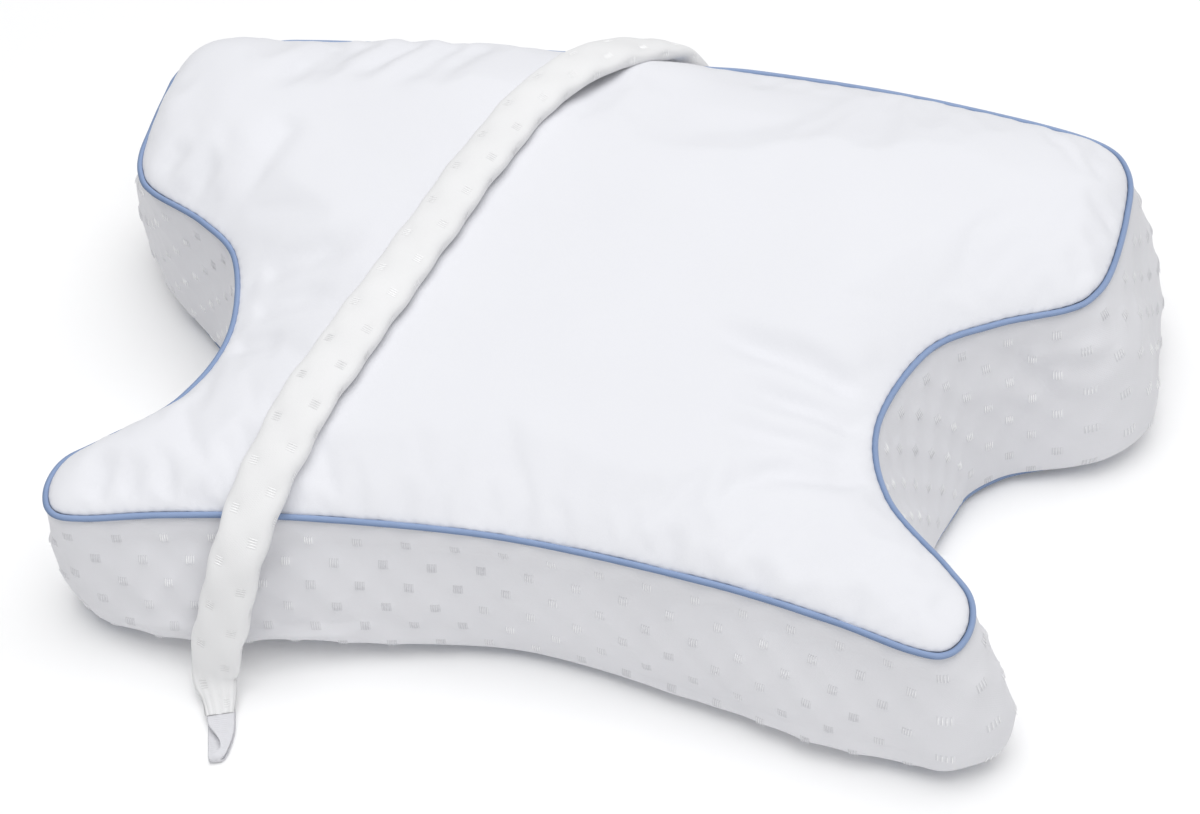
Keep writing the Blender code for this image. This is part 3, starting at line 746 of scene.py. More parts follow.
def lattice(along, across, along_repeat, across_repeat):
    """Puff of the knit: 1 in the middle of a diamond, low and dimpled at each woven square."""
    a = along / along_repeat + across / across_repeat
    b = along / along_repeat - across / across_repeat
    swell = 0.5 - 0.25 * (np.cos(2 * math.pi * a) + np.cos(2 * math.pi * b))
    near = (a - np.round(a)) ** 2 + (b - np.round(b)) ** 2
    return swell - DIMPLE_DEPTH * np.exp(-near / DIMPLE_WIDTH ** 2)


def gusset_folds(seam, run, share):
    """How far the folds draw the gusset in, at each run along the seam and share of the way down."""
    total = seam_length()
    drop = np.zeros(np.broadcast(run, share).shape)
    for _, x0, y0, down0, x1, y1, down1, half_width, depth in GUSSET_FOLDS:
        ends = [total * int(np.argmin(np.hypot(*(seam - p).T))) / len(seam) for p in ((x0, y0), (x1, y1))]
        height = seam_height(np.array((y0, y1)))
        start, end = (np.array((at, down * z)) for at, down, z in zip(ends, (down0, down1), height))
        length = np.linalg.norm(end - start)
        along = (end - start) / length
        off_run = (run - start[0] + total / 2) % total - total / 2
        off_down = share * height.mean() - start[1]
        t = (off_run * along[0] + off_down * along[1]) / length
        off = off_down * along[0] - off_run * along[1]
        fade = np.clip((t + FOLD_OVERRUN) / FOLD_FADE_IN, 0, 1)
        fade = fade * np.clip((1 + FOLD_OVERRUN - t) / FOLD_FADE_OUT, 0, 1)
        drop = drop + depth * eased(fade) * np.exp(-(off / half_width) ** 2)
    return drop


@functools.cache
def gusset_grid(crown, bulge_share, repeat, puff):
    """Fine gusset surface with puffed diamonds, and for each point its run and drop on the knit."""
    rings = cushion_shell(crown, bulge_share)[2]
    grid = resample_rings(rings, FINE_STEPS_DOWN, FINE_PER_SHELL_STEP)
    columns = round(seam_length() / repeat)
    run = columns * repeat * np.arange(grid.shape[1]) / grid.shape[1]
    step = np.linalg.norm(np.diff(grid, axis=0), axis=2)
    drop = np.vstack([np.zeros(grid.shape[1]), np.cumsum(step, axis=0)])
    run = np.broadcast_to(run, drop.shape)
    normals = grid_normals(grid)
    fade = np.clip(drop / PUFF_FADE_TOP, 0, 1) * np.clip((drop[-1:] - drop) / PUFF_FADE_FOOT, 0, 1)
    relief = puff * (lattice(run, drop, repeat, repeat) - 0.5) * fade
    share = np.arange(grid.shape[0])[:, None] / FINE_STEPS_DOWN
    seam = seam_stations(grid.shape[1])[0]
    seam_run = seam_length() * np.arange(grid.shape[1])[None] / grid.shape[1]
    relief = relief - gusset_folds(seam, seam_run, share)
    return grid + normals * relief[..., None], run, drop


# Materials


def math_node(tree, operation, *values):
    """Output of a Math node with the given sockets or numbers."""
    node = tree.nodes.new("ShaderNodeMath")
    node.operation = operation
    for socket, value in zip(node.inputs, values):
        if isinstance(value, (int, float)):
            socket.default_value = value
        else:
            tree.links.new(value, socket)
    return node.outputs[0]


def wave(tree, distance, pitch):
    """Sine wave of the given pitch along a distance."""
    return math_node(tree, "SINE", math_node(tree, "MULTIPLY", distance, 2 * math.pi / pitch))


def cloth_shader(name, color, roughness, sheen):
    """A cloth's material, node tree and shader, and its place on the object."""
    material = bpy.data.materials.new(name)
    material.use_nodes = True
    tree = material.node_tree
    shader = tree.nodes["Principled BSDF"]
    shader.inputs["Base Color"].default_value = (*color, 1.0)
    shader.inputs["Roughness"].default_value = roughness
    shader.inputs["Sheen Weight"].default_value = sheen
    shader.inputs["Sheen Roughness"].default_value = 0.45
    shader.inputs["Specular IOR Level"].default_value = 0.25
    return material, tree, shader, tree.nodes.new("ShaderNodeTexCoord").outputs["Object"]


def cloth_uv(tree):
    """The two sockets of the cloth's own UV, in metres."""
    split = tree.nodes.new("ShaderNodeSeparateXYZ")
    uv = tree.nodes.new("ShaderNodeUVMap")
    uv.uv_map = "cloth"
    tree.links.new(uv.outputs["UV"], split.inputs["Vector"])
    return split.outputs["X"], split.outputs["Y"]


def noise_texture(tree, place, scale, detail):
    node = tree.nodes.new("ShaderNodeTexNoise")
    node.inputs["Scale"].default_value = scale
    node.inputs["Detail"].default_value = detail
    tree.links.new(place, node.inputs["Vector"])
    return node.outputs["Fac"]


def bump(tree, shader, height, strength, distance):
    node = tree.nodes.new("ShaderNodeBump")
    node.inputs["Strength"].default_value = strength
    node.inputs["Distance"].default_value = distance
    tree.links.new(height, node.inputs["Height"])
    tree.links.new(node.outputs["Normal"], shader.inputs["Normal"])


def tint(tree, shader, factor, dark, light):
    """Base colour between two shades of the cloth."""
    mix = tree.nodes.new("ShaderNodeMix")
    mix.data_type = "RGBA"
    mix.inputs["A"].default_value = (*dark, 1.0)
    mix.inputs["B"].default_value = (*light, 1.0)
    tree.links.new(factor, mix.inputs["Factor"])
    tree.links.new(mix.outputs["Result"], shader.inputs["Base Color"])


def shade(color, share):
    return tuple(min(1.0, c * share) for c in color)


def microfibre_material(color):
    """Brushed microfibre: nearly smooth, a fine nap and a slow change of shade."""
    material, tree, shader, place = cloth_shader("microfibre_white", color, roughness=0.78, sheen=0.20)
    slow = noise_texture(tree, place, scale=14.0, detail=3.0)
    tint(tree, shader, slow, shade(color, 0.975), shade(color, 1.02))
    nap = noise_texture(tree, place, scale=1900.0, detail=2.0)
    rumple = noise_texture(tree, place, scale=95.0, detail=4.0)
    height = math_node(tree, "ADD", math_node(tree, "MULTIPLY", nap, NAP_SHARE), rumple)
    bump(tree, shader, height, strength=0.22, distance=0.0007)
    return material


def painted_glints(tree, place):
    """Patches of painted glints, where the woven squares catch the light, from 0 to 1."""
    node = tree.nodes.new("ShaderNodeMapRange")
    node.inputs["From Min"].default_value = GLINT_FROM
    node.inputs["From Max"].default_value = GLINT_TO
    tree.links.new(noise_texture(tree, place, GLINT_SCALE, detail=2.0), node.inputs["Value"])
    return node.outputs["Result"]


def knit_material(name, color, along_repeat, across_repeat, square_tone_and_shade):
    """Jacquard knit: fine loops, and woven squares of thin bars, painted darker (partly their own tone,
    partly painted shade between the bars) except under painted glints.
    """
    material, tree, shader, place = cloth_shader(name, color, roughness=0.72, sheen=0.15)
    calc = functools.partial(math_node, tree)
    run, drop = cloth_uv(tree)
    along, across = calc("DIVIDE", run, along_repeat), calc("DIVIDE", drop, across_repeat)
    a, b = calc("ADD", along, across), calc("SUBTRACT", along, across)
    off_a, off_b = calc("SUBTRACT", a, calc("ROUND", a)), calc("SUBTRACT", b, calc("ROUND", b))
    wide = calc("ABSOLUTE", calc("ADD", off_a, off_b))
    tall = calc("ABSOLUTE", calc("SUBTRACT", off_a, off_b))
    square = calc("LESS_THAN", calc("MAXIMUM", wide, tall), 2 * SQUARE_SHARE)
    woven = calc("MULTIPLY", square, wave(tree, run, 2 * SQUARE_SHARE * along_repeat / BARS_A_SQUARE))
    loops = calc("MULTIPLY", wave(tree, run, KNIT_WALE), wave(tree, drop, KNIT_COURSE))
    fuzz = calc("MULTIPLY", noise_texture(tree, place, scale=1300.0, detail=2.0), KNIT_FUZZ)
    rumple = calc("MULTIPLY", noise_texture(tree, place, scale=160.0, detail=3.0), KNIT_RUMPLE)
    fine = calc("ADD", calc("MULTIPLY", loops, KNIT_LOOPS), fuzz)
    height = calc("ADD", fine, calc("ADD", rumple, calc("MULTIPLY", woven, KNIT_BARS)))
    bump(tree, shader, height, strength=0.30, distance=0.0004)
    cloud = noise_texture(tree, place, scale=18.0, detail=2.0)
    slow = calc("MULTIPLY_ADD", cloud, KNIT_SHADE_SWING, KNIT_SHADE_BASE)
    unglinted = calc("SUBTRACT", 1.0, painted_glints(tree, place))
    # Squares painted darker, partly their own tone and partly painted shade between the bars, except under
    # painted glints.
    toned_and_shaded = calc("MULTIPLY_ADD", calc("MULTIPLY", square, unglinted), -square_tone_and_shade, slow)
    # Bars painted as lighter stripes with darker gaps: partly their pattern, partly painted light and
    # painted shade.
    lit = calc("MULTIPLY_ADD", woven, KNIT_BAR_LIGHT, toned_and_shaded)
    tint(tree, shader, lit, shade(color, 0.84), shade(color, 1.06))
    return material


def twill_material(color, radius):
    """Fine diagonal twill with painted light and shade: palest on the lit side, where the cord's own UV
    starts round it.
    """
    material, tree, shader, place = cloth_shader("piping_blue_twill", color, roughness=0.55, sheen=0.15)
    calc = functools.partial(math_node, tree)
    run, way = cloth_uv(tree)
    rib = wave(tree, calc("ADD", run, way), TWILL_PITCH)
    bump(tree, shader, rib, strength=0.35, distance=0.0002)
    slow = noise_texture(tree, place, scale=60.0, detail=3.0)
    # Painted light and shade round the cord: from a painted-shade dark blue to a whitened painted highlight
    # on the lit side.
    turn = calc("MULTIPLY", way, 1 / radius)
    painted_light = calc("MULTIPLY_ADD", calc("COSINE", turn), TWILL_PAINTED_LIGHT_SWING, TWILL_PAINTED_LIGHT_BASE)
    ribbed = calc("MULTIPLY_ADD", rib, TWILL_RIB_LIGHT, slow)
    lit = calc("MULTIPLY_ADD", ribbed, TWILL_GRAIN, painted_light)
    painted_highlight_thread = tuple((1 - TWILL_HIGHLIGHT_WHITENED) * c + TWILL_HIGHLIGHT_WHITENED for c in shade(color, 0.9))
    tint(tree, shader, lit, shade(color, 0.55), painted_highlight_thread)
    return material


def thread_material(color):
    """Thread of the woven squares, brighter in the patches of painted glints."""
    material, tree, shader, place = cloth_shader("knit_raised_thread", color, roughness=0.42, sheen=0.1)
    tint(tree, shader, painted_glints(tree, place), shade(color, 0.90), shade(color, 1.30))
    return material


def ribbon_material(color):
    """Satin ribbon with fine ribs across it."""
    material, tree, shader, place = cloth_shader("ribbon_grey_satin", color, roughness=0.45, sheen=0.1)
    bump(tree, shader, wave(tree, cloth_uv(tree)[0], RIBBON_RIB), strength=0.3, distance=0.00015)
    slow = noise_texture(tree, place, scale=250.0, detail=3.0)
    tint(tree, shader, slow, shade(color, 0.93), shade(color, 1.06))
    return material


def floor_material(color, glow):
    """Lit white table."""
    material = bpy.data.materials.new("studio_floor")
    material.use_nodes = True
    shader = material.node_tree.nodes["Principled BSDF"]
    shader.inputs["Base Color"].default_value = (*color, 1.0)
    shader.inputs["Roughness"].default_value = 0.9
    shader.inputs["Specular IOR Level"].default_value = 0.0
    shader.inputs["Emission Color"].default_value = (1.0, 1.0, 1.0, 1.0)
    shader.inputs["Emission Strength"].default_value = glow
    return material


# Geometry Nodes


def bar_tree(name, material, length, width, height):
    """Geometry Nodes that put a rounded bar on each point, along its "along" and out of its "out"."""
    tree = bpy.data.node_groups.new(name, "GeometryNodeTree")
    sockets = tree.interface
    sockets.new_socket("Points", in_out="INPUT", socket_type="NodeSocketGeometry")
    for label, value in (("Length", length), ("Width", width), ("Height", height)):
        socket = sockets.new_socket(label, in_out="INPUT", socket_type="NodeSocketFloat")
        socket.default_value = value
        socket.subtype = "DISTANCE"
    sockets.new_socket("Bars", in_out="OUTPUT", socket_type="NodeSocketGeometry")
    nodes, link = tree.nodes, tree.links.new
    given, made = nodes.new("NodeGroupInput"), nodes.new("NodeGroupOutput")
    bar = nodes.new("GeometryNodeMeshUVSphere")
    bar.inputs["Segments"].default_value = BAR_SIDES
    bar.inputs["Rings"].default_value = BAR_RINGS
    bar.inputs["Radius"].default_value = 0.5
    size = nodes.new("ShaderNodeCombineXYZ")
    link(given.outputs["Width"], size.inputs["X"])
    link(given.outputs["Height"], size.inputs["Y"])
    link(given.outputs["Length"], size.inputs["Z"])
    along, out = nodes.new("GeometryNodeInputNamedAttribute"), nodes.new("GeometryNodeInputNamedAttribute")
    for node, label in ((along, "along"), (out, "out")):
        node.data_type = "FLOAT_VECTOR"
        node.inputs["Name"].default_value = label
    lay = nodes.new("FunctionNodeAlignRotationToVector")
    lay.axis = "Z"
    link(along.outputs["Attribute"], lay.inputs["Vector"])
    turn = nodes.new("FunctionNodeAlignRotationToVector")
    turn.axis = "Y"
    turn.pivot_axis = "Z"
    link(lay.outputs["Rotation"], turn.inputs["Rotation"])
    link(out.outputs["Attribute"], turn.inputs["Vector"])
    place = nodes.new("GeometryNodeInstanceOnPoints")
    link(given.outputs["Points"], place.inputs["Points"])
    link(bar.outputs["Mesh"], place.inputs["Instance"])
    link(turn.outputs["Rotation"], place.inputs["Rotation"])
    link(size.outputs["Vector"], place.inputs["Scale"])
    real = nodes.new("GeometryNodeRealizeInstances")
    link(place.outputs["Instances"], real.inputs["Geometry"])
    smooth = nodes.new("GeometryNodeSetShadeSmooth")
    link(real.outputs["Geometry"], smooth.inputs["Geometry"])
    finish = nodes.new("GeometryNodeSetMaterial")
    finish.inputs["Material"].default_value = material
    link(smooth.outputs["Geometry"], finish.inputs["Geometry"])
    link(finish.outputs["Geometry"], made.inputs["Bars"])
    return tree


def bar_offsets(length):
    """Places of a woven square's bars on either side of its middle."""
    pitch = length / BARS_A_SQUARE
    return [(bar - (BARS_A_SQUARE - 1) / 2) * pitch for bar in range(BARS_A_SQUARE)]


def add_bars(name, points, along, out, material, length):
    """A plain mesh of rounded bars, one on each point."""
    seeds = bpy.data.meshes.new(name + "_points")
    seeds.from_pydata([tuple(p) for p in points], [], [])
    for label, values in (("along", along), ("out", out)):
        layer = seeds.attributes.new(label, "FLOAT_VECTOR", "POINT")
        layer.data.foreach_set("vector", np.asarray(values, np.float32).ravel())
    holder = add_object(name + "_points", seeds)
    modifier = holder.modifiers.new("Bars", "NODES")
    width = length / BARS_A_SQUARE * BAR_WIDTH_SHARE
    modifier.node_group = bar_tree(name + "_tree", material, length, width, BAR_HEIGHT)
    depsgraph = bpy.context.evaluated_depsgraph_get()
    mesh = bpy.data.meshes.new_from_object(holder.evaluated_get(depsgraph), depsgraph=depsgraph)
    mesh.name = name
    holder.modifiers.remove(modifier)
    bpy.data.objects.remove(holder, do_unlink=True)
    return add_object(name, mesh)


# Pieces


class CUSHION_OT_filled_body(bpy.types.Operator):
    """Make the filled cushion with its jacquard gusset"""

    bl_idname = "cushion.filled_body"
    bl_label = "Filled cushion"

    def execute(self, context):
        sizes, colours = context.scene.cushion_sizes, context.scene.cushion_colours
        top, top_faces, _, under, under_faces = cushion_shell(sizes.crown, sizes.bulge)
        grid, run, drop = gusset_grid(sizes.crown, sizes.bulge, sizes.repeat, sizes.puff)
        rows, count = grid.shape[:2]
        cap_drop = CLOTH_THICK + CLOTH_OVER_FILL
        lowered = top - np.array((0.0, 0.0, cap_drop))
        raised = under + np.array((0.0, 0.0, cap_drop))
        verts = np.vstack([grid.reshape(-1, 3), lowered, raised])
        first_top, first_under = rows * count, rows * count + len(top)
        faces, uvs = [], []
        full_turn = run[0, -1] + run[0, 1]
        for i in range(rows - 1):
            for k in range(count):
                n = (k + 1) % count
                faces.append((i * count + k, (i + 1) * count + k, (i + 1) * count + n, i * count + n))
                ahead = run[i, n] if n else full_turn
                uvs += [(run[i, k], drop[i, k]), (run[i, k], drop[i + 1, k]),
                        (ahead, drop[i + 1, n]), (ahead, drop[i, n])]
        caps = [tuple(i + first_top for i in f) for f in top_faces]
        caps += [tuple(i + first_under for i in reversed(f)) for f in under_faces]
        for k in range(SHELL_STEPS_ROUND):
            n = (k + 1) % SHELL_STEPS_ROUND
            fine = [(FINE_PER_SHELL_STEP * k + j) % count for j in range(FINE_PER_SHELL_STEP + 1)]
            caps.append((first_top + n, first_top + k, *fine))
            low = [(rows - 1) * count + i for i in fine]
            caps.append((first_under + k, first_under + n, *reversed(low)))
        faces += caps
        uvs += [(0.0, 0.0)] * sum(len(f) for f in caps)
        knit = knit_material("gusset_knit_white", colours.knit, sizes.repeat, sizes.repeat,
                             GUSSET_SQUARE_TONE_AND_SHADE)
        body = add_mesh("gusset_cushion", verts, faces, knit, uvs)
        face_outwards(body)
        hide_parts("pillow_body")
        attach(body, BODY)
        return {"FINISHED"}


class CUSHION_OT_panels(bpy.types.Operator):
    """Make the top panel and the underside"""

    bl_idname = "cushion.panels"
    bl_label = "Panels"

    def execute(self, context):
        sizes, colours = context.scene.cushion_sizes, context.scene.cushion_colours
        top, top_faces, _, under, under_faces = cushion_shell(sizes.crown, sizes.bulge)
        pressed = top.copy()
        pressed[:, 2] -= tether_press(top[:, :2])
        microfibre = microfibre_material(colours.microfibre)
        panel = add_mesh("microfibre_top_panel", pressed, top_faces, microfibre)
        self.finish_panel(panel, "top_panel", "microfibre_white", seam_area(0.0))
        knit = knit_material("underside_knit_white", colours.knit, sizes.repeat, sizes.repeat,
                             GUSSET_SQUARE_TONE_AND_SHADE)
        flipped = [tuple(reversed(f)) for f in under_faces]
        uvs = [under[i][:2] for f in flipped for i in f]
        base = add_mesh("knit_underside", under, flipped, knit, uvs)
        self.finish_panel(base, "bottom_panel", "knit_white", seam_area(1.0))
        return {"FINISHED"}

    def finish_panel(self, panel, node, slot, area):
        thick = panel.modifiers.new("Thickness", "SOLIDIFY")
        thick.thickness = CLOTH_THICK
        thick.offset = -1.0
        soft = panel.modifiers.new("Soften", "SUBSURF")
        soft.levels = soft.render_levels = 1
        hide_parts(node)
        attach(panel, BODY)


def seam_area(lean_share):
    """Cloth area inside the top seam, or inside the bottom seam where lean_share is 1."""
    seam, normals, _, lean = seam_stations(SHELL_STEPS_ROUND)
    loop = seam + normals * (lean * lean_share)[:, None]
    x, y = loop.T
    return round(abs(float((x * np.roll(y, -1) - y * np.roll(x, -1)).sum())) / 2 * CLOTH_EASE, 4)


def tether_press(points):
    """How far the tether presses the top panel down."""
    route = np.array([(x, y) for _, x, y, z, *_ in TETHER if z is None or z > TETHER_PRESSES_ABOVE_Z])
    rel = points[:, None] - route[None, :-1]
    run = (route[1:] - route[:-1])[None]
    t = np.clip((rel * run).sum(axis=2) / (run ** 2).sum(axis=2), 0, 1)
    off = np.linalg.norm(rel - t[..., None] * run, axis=2).min(axis=1)
    return TETHER_PRESS * np.exp(-(off / TETHER_PRESS_WIDTH) ** 2)


def add_cord(name, centres, out, radii, radius, material):
    """Closed round cord along its centres. Its UV in metres starts round it on the side that gets painted
    light.
    """
    count, steps = len(centres), PIPING_STEPS_ROUND
    step_run = np.linalg.norm(np.roll(centres, -1, axis=0) - centres, axis=1)
    run = np.concatenate([[0.0], np.cumsum(step_run)])
    up = np.array((0.0, 0.0, 1.0))
    points = []
    for k in range(steps):
        a = 2 * math.pi * k / steps
        reach_out, reach_up = (radii * part(a) for part in (math.cos, math.sin))
        points.append(centres + out * reach_out[:, None] + up * reach_up[:, None])
    points = np.stack(points, axis=1).reshape(-1, 3)
    # Turn round the cord to the side towards the light, where the twill gets its painted light.
    painted_light_turn = np.arctan2(PIPING_PAINTED_LIGHT_SIDE[2], out @ np.array(PIPING_PAINTED_LIGHT_SIDE))
    faces, uvs = [], []
    for i in range(count):
        j = (i + 1) % count
        for k in range(steps):
            n = (k + 1) % steps
            faces.append((i * steps + k, j * steps + k, j * steps + n, i * steps + n))
            for at, part, way in ((i, i, k), (j, i + 1, k), (j, i + 1, k + 1), (i, i, k + 1)):
                uvs.append((run[part], radius * (2 * math.pi * way / steps - painted_light_turn[at])))
    return add_mesh(name, points, faces, material, uvs)


class CUSHION_OT_piping(bpy.types.Operator):
    """Make both rows of piping"""

    bl_idname = "cushion.piping"
    bl_label = "Piping"

    def execute(self, context):
        radius = context.scene.cushion_sizes.piping_radius
        twill = twill_material(context.scene.cushion_colours.piping, radius)
        count = SHELL_STEPS_ROUND * FINE_PER_SHELL_STEP
        seam, normals, _, lean = seam_stations(count)
        foot = seam + normals * lean[:, None]
        top_line = np.column_stack([seam, seam_height(seam[:, 1])])
        foot_line = np.column_stack([foot, np.full(count, FOOT_SEAM_Z)])
        out = np.column_stack([normals, np.zeros(count)])
        sink = -out * PIPING_SINK_IN - np.array((0.0, 0.0, PIPING_SINK_DOWN))
        top_line = top_line + rim_fullness(seam)[:, None] * sink
        waver = np.array([noise.noise(Vector(tuple(p * PIPING_WAVER_SCALE))) for p in top_line])
        radii = radius * (1 + PIPING_WAVER * waver)
        for name, node, line in (("top_piping_cord", "top_piping", top_line),
                                 ("bottom_piping_cord", "bottom_piping", foot_line)):
            cord = add_cord(name, line, out, radii, radius, twill)
            face_outwards(cord)
            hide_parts(node)
            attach(cord, BODY)
        return {"FINISHED"}


class CUSHION_OT_woven_squares(bpy.types.Operator):
    """Make the raised thread bars of the woven squares on the gusset"""

    bl_idname = "cushion.woven_squares"
    bl_label = "Woven squares"

    def execute(self, context):
        sizes, colours = context.scene.cushion_sizes, context.scene.cushion_colours
        grid, _, drop = gusset_grid(sizes.crown, sizes.bulge, sizes.repeat, sizes.puff)
        normals = grid_normals(grid)
        rows, count = grid.shape[:2]
        columns = round(seam_length() / sizes.repeat)
        points, along, out = [], [], []
        for line in range(1, int(drop.max() / (sizes.repeat / 2)) + 1):
            level = line * sizes.repeat / 2
            for column in range(columns):
                for offset in bar_offsets(sizes.bar_length):
                    middle = (column + 0.5 * (line % 2)) * sizes.repeat
                    at = (middle + offset) / (columns * sizes.repeat) * count
                    nearest, k = int(round(at)) % count, int(at) % count
                    if level > drop[-1, nearest] - sizes.bar_length:
                        continue
                    i = int(np.searchsorted(drop[:, nearest], level)) - 1
                    down = (level - drop[i, nearest]) / (drop[i + 1, nearest] - drop[i, nearest])
                    upper, lower = (between(ring[k], ring[(k + 1) % count], at - int(at))
                                    for ring in (grid[i], grid[i + 1]))
                    points.append(between(upper, lower, down))
                    along.append(grid[min(i + 1, rows - 1), nearest] - grid[max(i - 1, 0), nearest])
                    out.append(normals[i, nearest])
        thread = thread_material(shade(colours.knit, 1.08))
        bars = add_bars("gusset_woven_squares", points, along, out, thread, sizes.bar_length)
        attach(bars, BODY)
        return {"FINISHED"}


# Tether


def tether_route(panel):
    """Centres, side and face axes, half width and half thickness along the tether."""
    tree = BVHTree.FromObject(panel, bpy.context.evaluated_depsgraph_get())
    rows = []
    for _, x, y, z, lean, width, thick in TETHER:
        if z is None:
            hit = tree.ray_cast(Vector((x, y, ABOVE_ALL_Z)), Vector((0.0, 0.0, -1.0)))[0]
            z = hit.z + thick / 2 + TETHER_LIFT
        rows.append((x, y, z, lean, width, thick))
    last = len(rows) - 1
    dense = np.array([spline(rows, min(last * k / TETHER_STATIONS, last - 1e-9), False)
                      for k in range(TETHER_STATIONS + 1)])
    centres = dense[:, :3]
    ahead = np.gradient(centres, axis=0)
    ahead /= np.linalg.norm(ahead, axis=1)[:, None]
    lean = np.radians(dense[:, 3])
    face = np.column_stack([np.zeros(len(lean)), -np.sin(lean), np.cos(lean)])
    side = np.cross(ahead, face)
    side /= np.linalg.norm(side, axis=1)[:, None]
    face = np.cross(side, ahead)
    return centres, side, face, dense[:, 4] / 2, dense[:, 5] / 2


def tether_surface(panel, repeat, puff):
    """Grid of the tether's surface, along it and then round it, with its outward directions and run."""
    centres, side, face, half_width, half_thick = tether_route(panel)
    run = np.concatenate([[0.0], np.cumsum(np.linalg.norm(np.diff(centres, axis=0), axis=1))])
    to_end = run[-1] - run
    flat = np.clip(1 - to_end / TETHER_FLAT_END, 0, 1)
    half_thick = half_thick * (1 - (1 - TETHER_END_THICK) * flat ** 2)
    half_width = half_width + TETHER_END_SPREAD * flat
    angle = 2 * math.pi * np.arange(TETHER_SIDES) / TETHER_SIDES
    power = 2 / TETHER_SQUARENESS
    u = np.sign(np.cos(angle)) * np.abs(np.cos(angle)) ** power
    v = np.sign(np.sin(angle)) * np.abs(np.sin(angle)) ** power
    way = TETHER_GIRTH * np.arange(TETHER_SIDES) / TETHER_SIDES
    grid = (centres[:, None] + side[:, None] * (half_width[:, None] * u[None])[..., None]
            + face[:, None] * (half_thick[:, None] * v[None])[..., None])
    out = (side[:, None] * (u * half_thick.mean())[None, :, None]
           + face[:, None] * (v * half_width.mean())[None, :, None])
    out /= np.linalg.norm(out, axis=2)[..., None]
    wide_run, wide_way = np.broadcast_arrays(run[:, None], way[None])
    relief = TETHER_PUFF_SHARE * puff * (lattice(wide_run, wide_way, repeat, TETHER_ROUND_REPEAT) - 0.5)
    fold = TETHER_WAVE * np.sin(2 * math.pi * (wide_run / TETHER_WAVE_LENGTH + wide_way / TETHER_GIRTH))
    ends = np.clip(run / TETHER_END_FADE, 0, 1) * np.clip(to_end / TETHER_END_FADE, 0, 1)
    gathered = 1 - np.clip(to_end / TETHER_GATHER_REACH, 0, 1)
    gather = TETHER_GATHER_DEPTH * np.sin(angle * TETHER_GATHERS)[None] * gathered[:, None]
    grid = grid + out * ((relief + fold) * ends[:, None] - np.abs(gather))[..., None]
    return grid, out, run


class CUSHION_OT_tether(bpy.types.Operator):
    """Make the padded tether and its woven squares"""

    bl_idname = "cushion.tether"
    bl_label = "Tether"

    def execute(self, context):
        sizes, colours = context.scene.cushion_sizes, context.scene.cushion_colours
        panel = bpy.data.objects["microfibre_top_panel"]
        grid, out, run = tether_surface(panel, sizes.repeat, sizes.puff)
        rows, count = grid.shape[:2]
        faces, uvs = [], []
        for i in range(rows - 1):
            for k in range(count):
                n = (k + 1) % count
                faces.append((i * count + k, i * count + n, (i + 1) * count + n, (i + 1) * count + k))
                v0, v1 = TETHER_GIRTH * k / count, TETHER_GIRTH * (k + 1) / count
                uvs += [(run[i], v0), (run[i], v1), (run[i + 1], v1), (run[i + 1], v0)]
        verts = [tuple(p) for p in grid.reshape(-1, 3)]
        for start, middle in ((0, grid[0].mean(axis=0)), ((rows - 1) * count, grid[-1].mean(axis=0))):
            verts.append(tuple(middle))
            centre = len(verts) - 1
            for k in range(count):
                n = (k + 1) % count
                faces.append((centre, start + k, start + n))
                uvs += [(0.0, 0.0)] * 3
        knit = knit_material("tether_knit_warm", colours.tether, sizes.repeat, TETHER_ROUND_REPEAT,
                             TETHER_SQUARE_TONE_AND_SHADE)
        tube = add_mesh("padded_tether", verts, faces, knit, uvs)
        face_outwards(tube)
        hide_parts("tether")
        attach(tube, BODY)
        self.add_squares(grid, out, run, sizes, colours)
        return {"FINISHED"}

    def add_squares(self, grid, out, run, sizes, colours):
        """Woven squares whose bars lie across the tether."""
        count = grid.shape[1]
        points, along, normals = [], [], []
        for line in range(1, int(run[-1] / (sizes.repeat / 2))):
            middle = line * sizes.repeat / 2
            for place in range(TETHER_SQUARES_ROUND):
                turn = (place + 0.5 * (line % 2)) / TETHER_SQUARES_ROUND
                k = int(round(turn * count)) % count
                for offset in bar_offsets(sizes.bar_length):
                    at = middle + offset
                    i = int(np.searchsorted(run, at)) - 1
                    points.append(between(grid[i, k], grid[i + 1, k], (at - run[i]) / (run[i + 1] - run[i])))
                    along.append(grid[i, (k + 1) % count] - grid[i, k - 1])
                    normals.append(out[i, k])
        thread = thread_material(shade(colours.tether, 1.04))
        bars = add_bars("tether_woven_squares", points, along, normals, thread, sizes.bar_length)
        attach(bars, BODY)


def smooth_step(value, start, end):
    return eased(min(1.0, max(0.0, (value - start) / (end - start))))


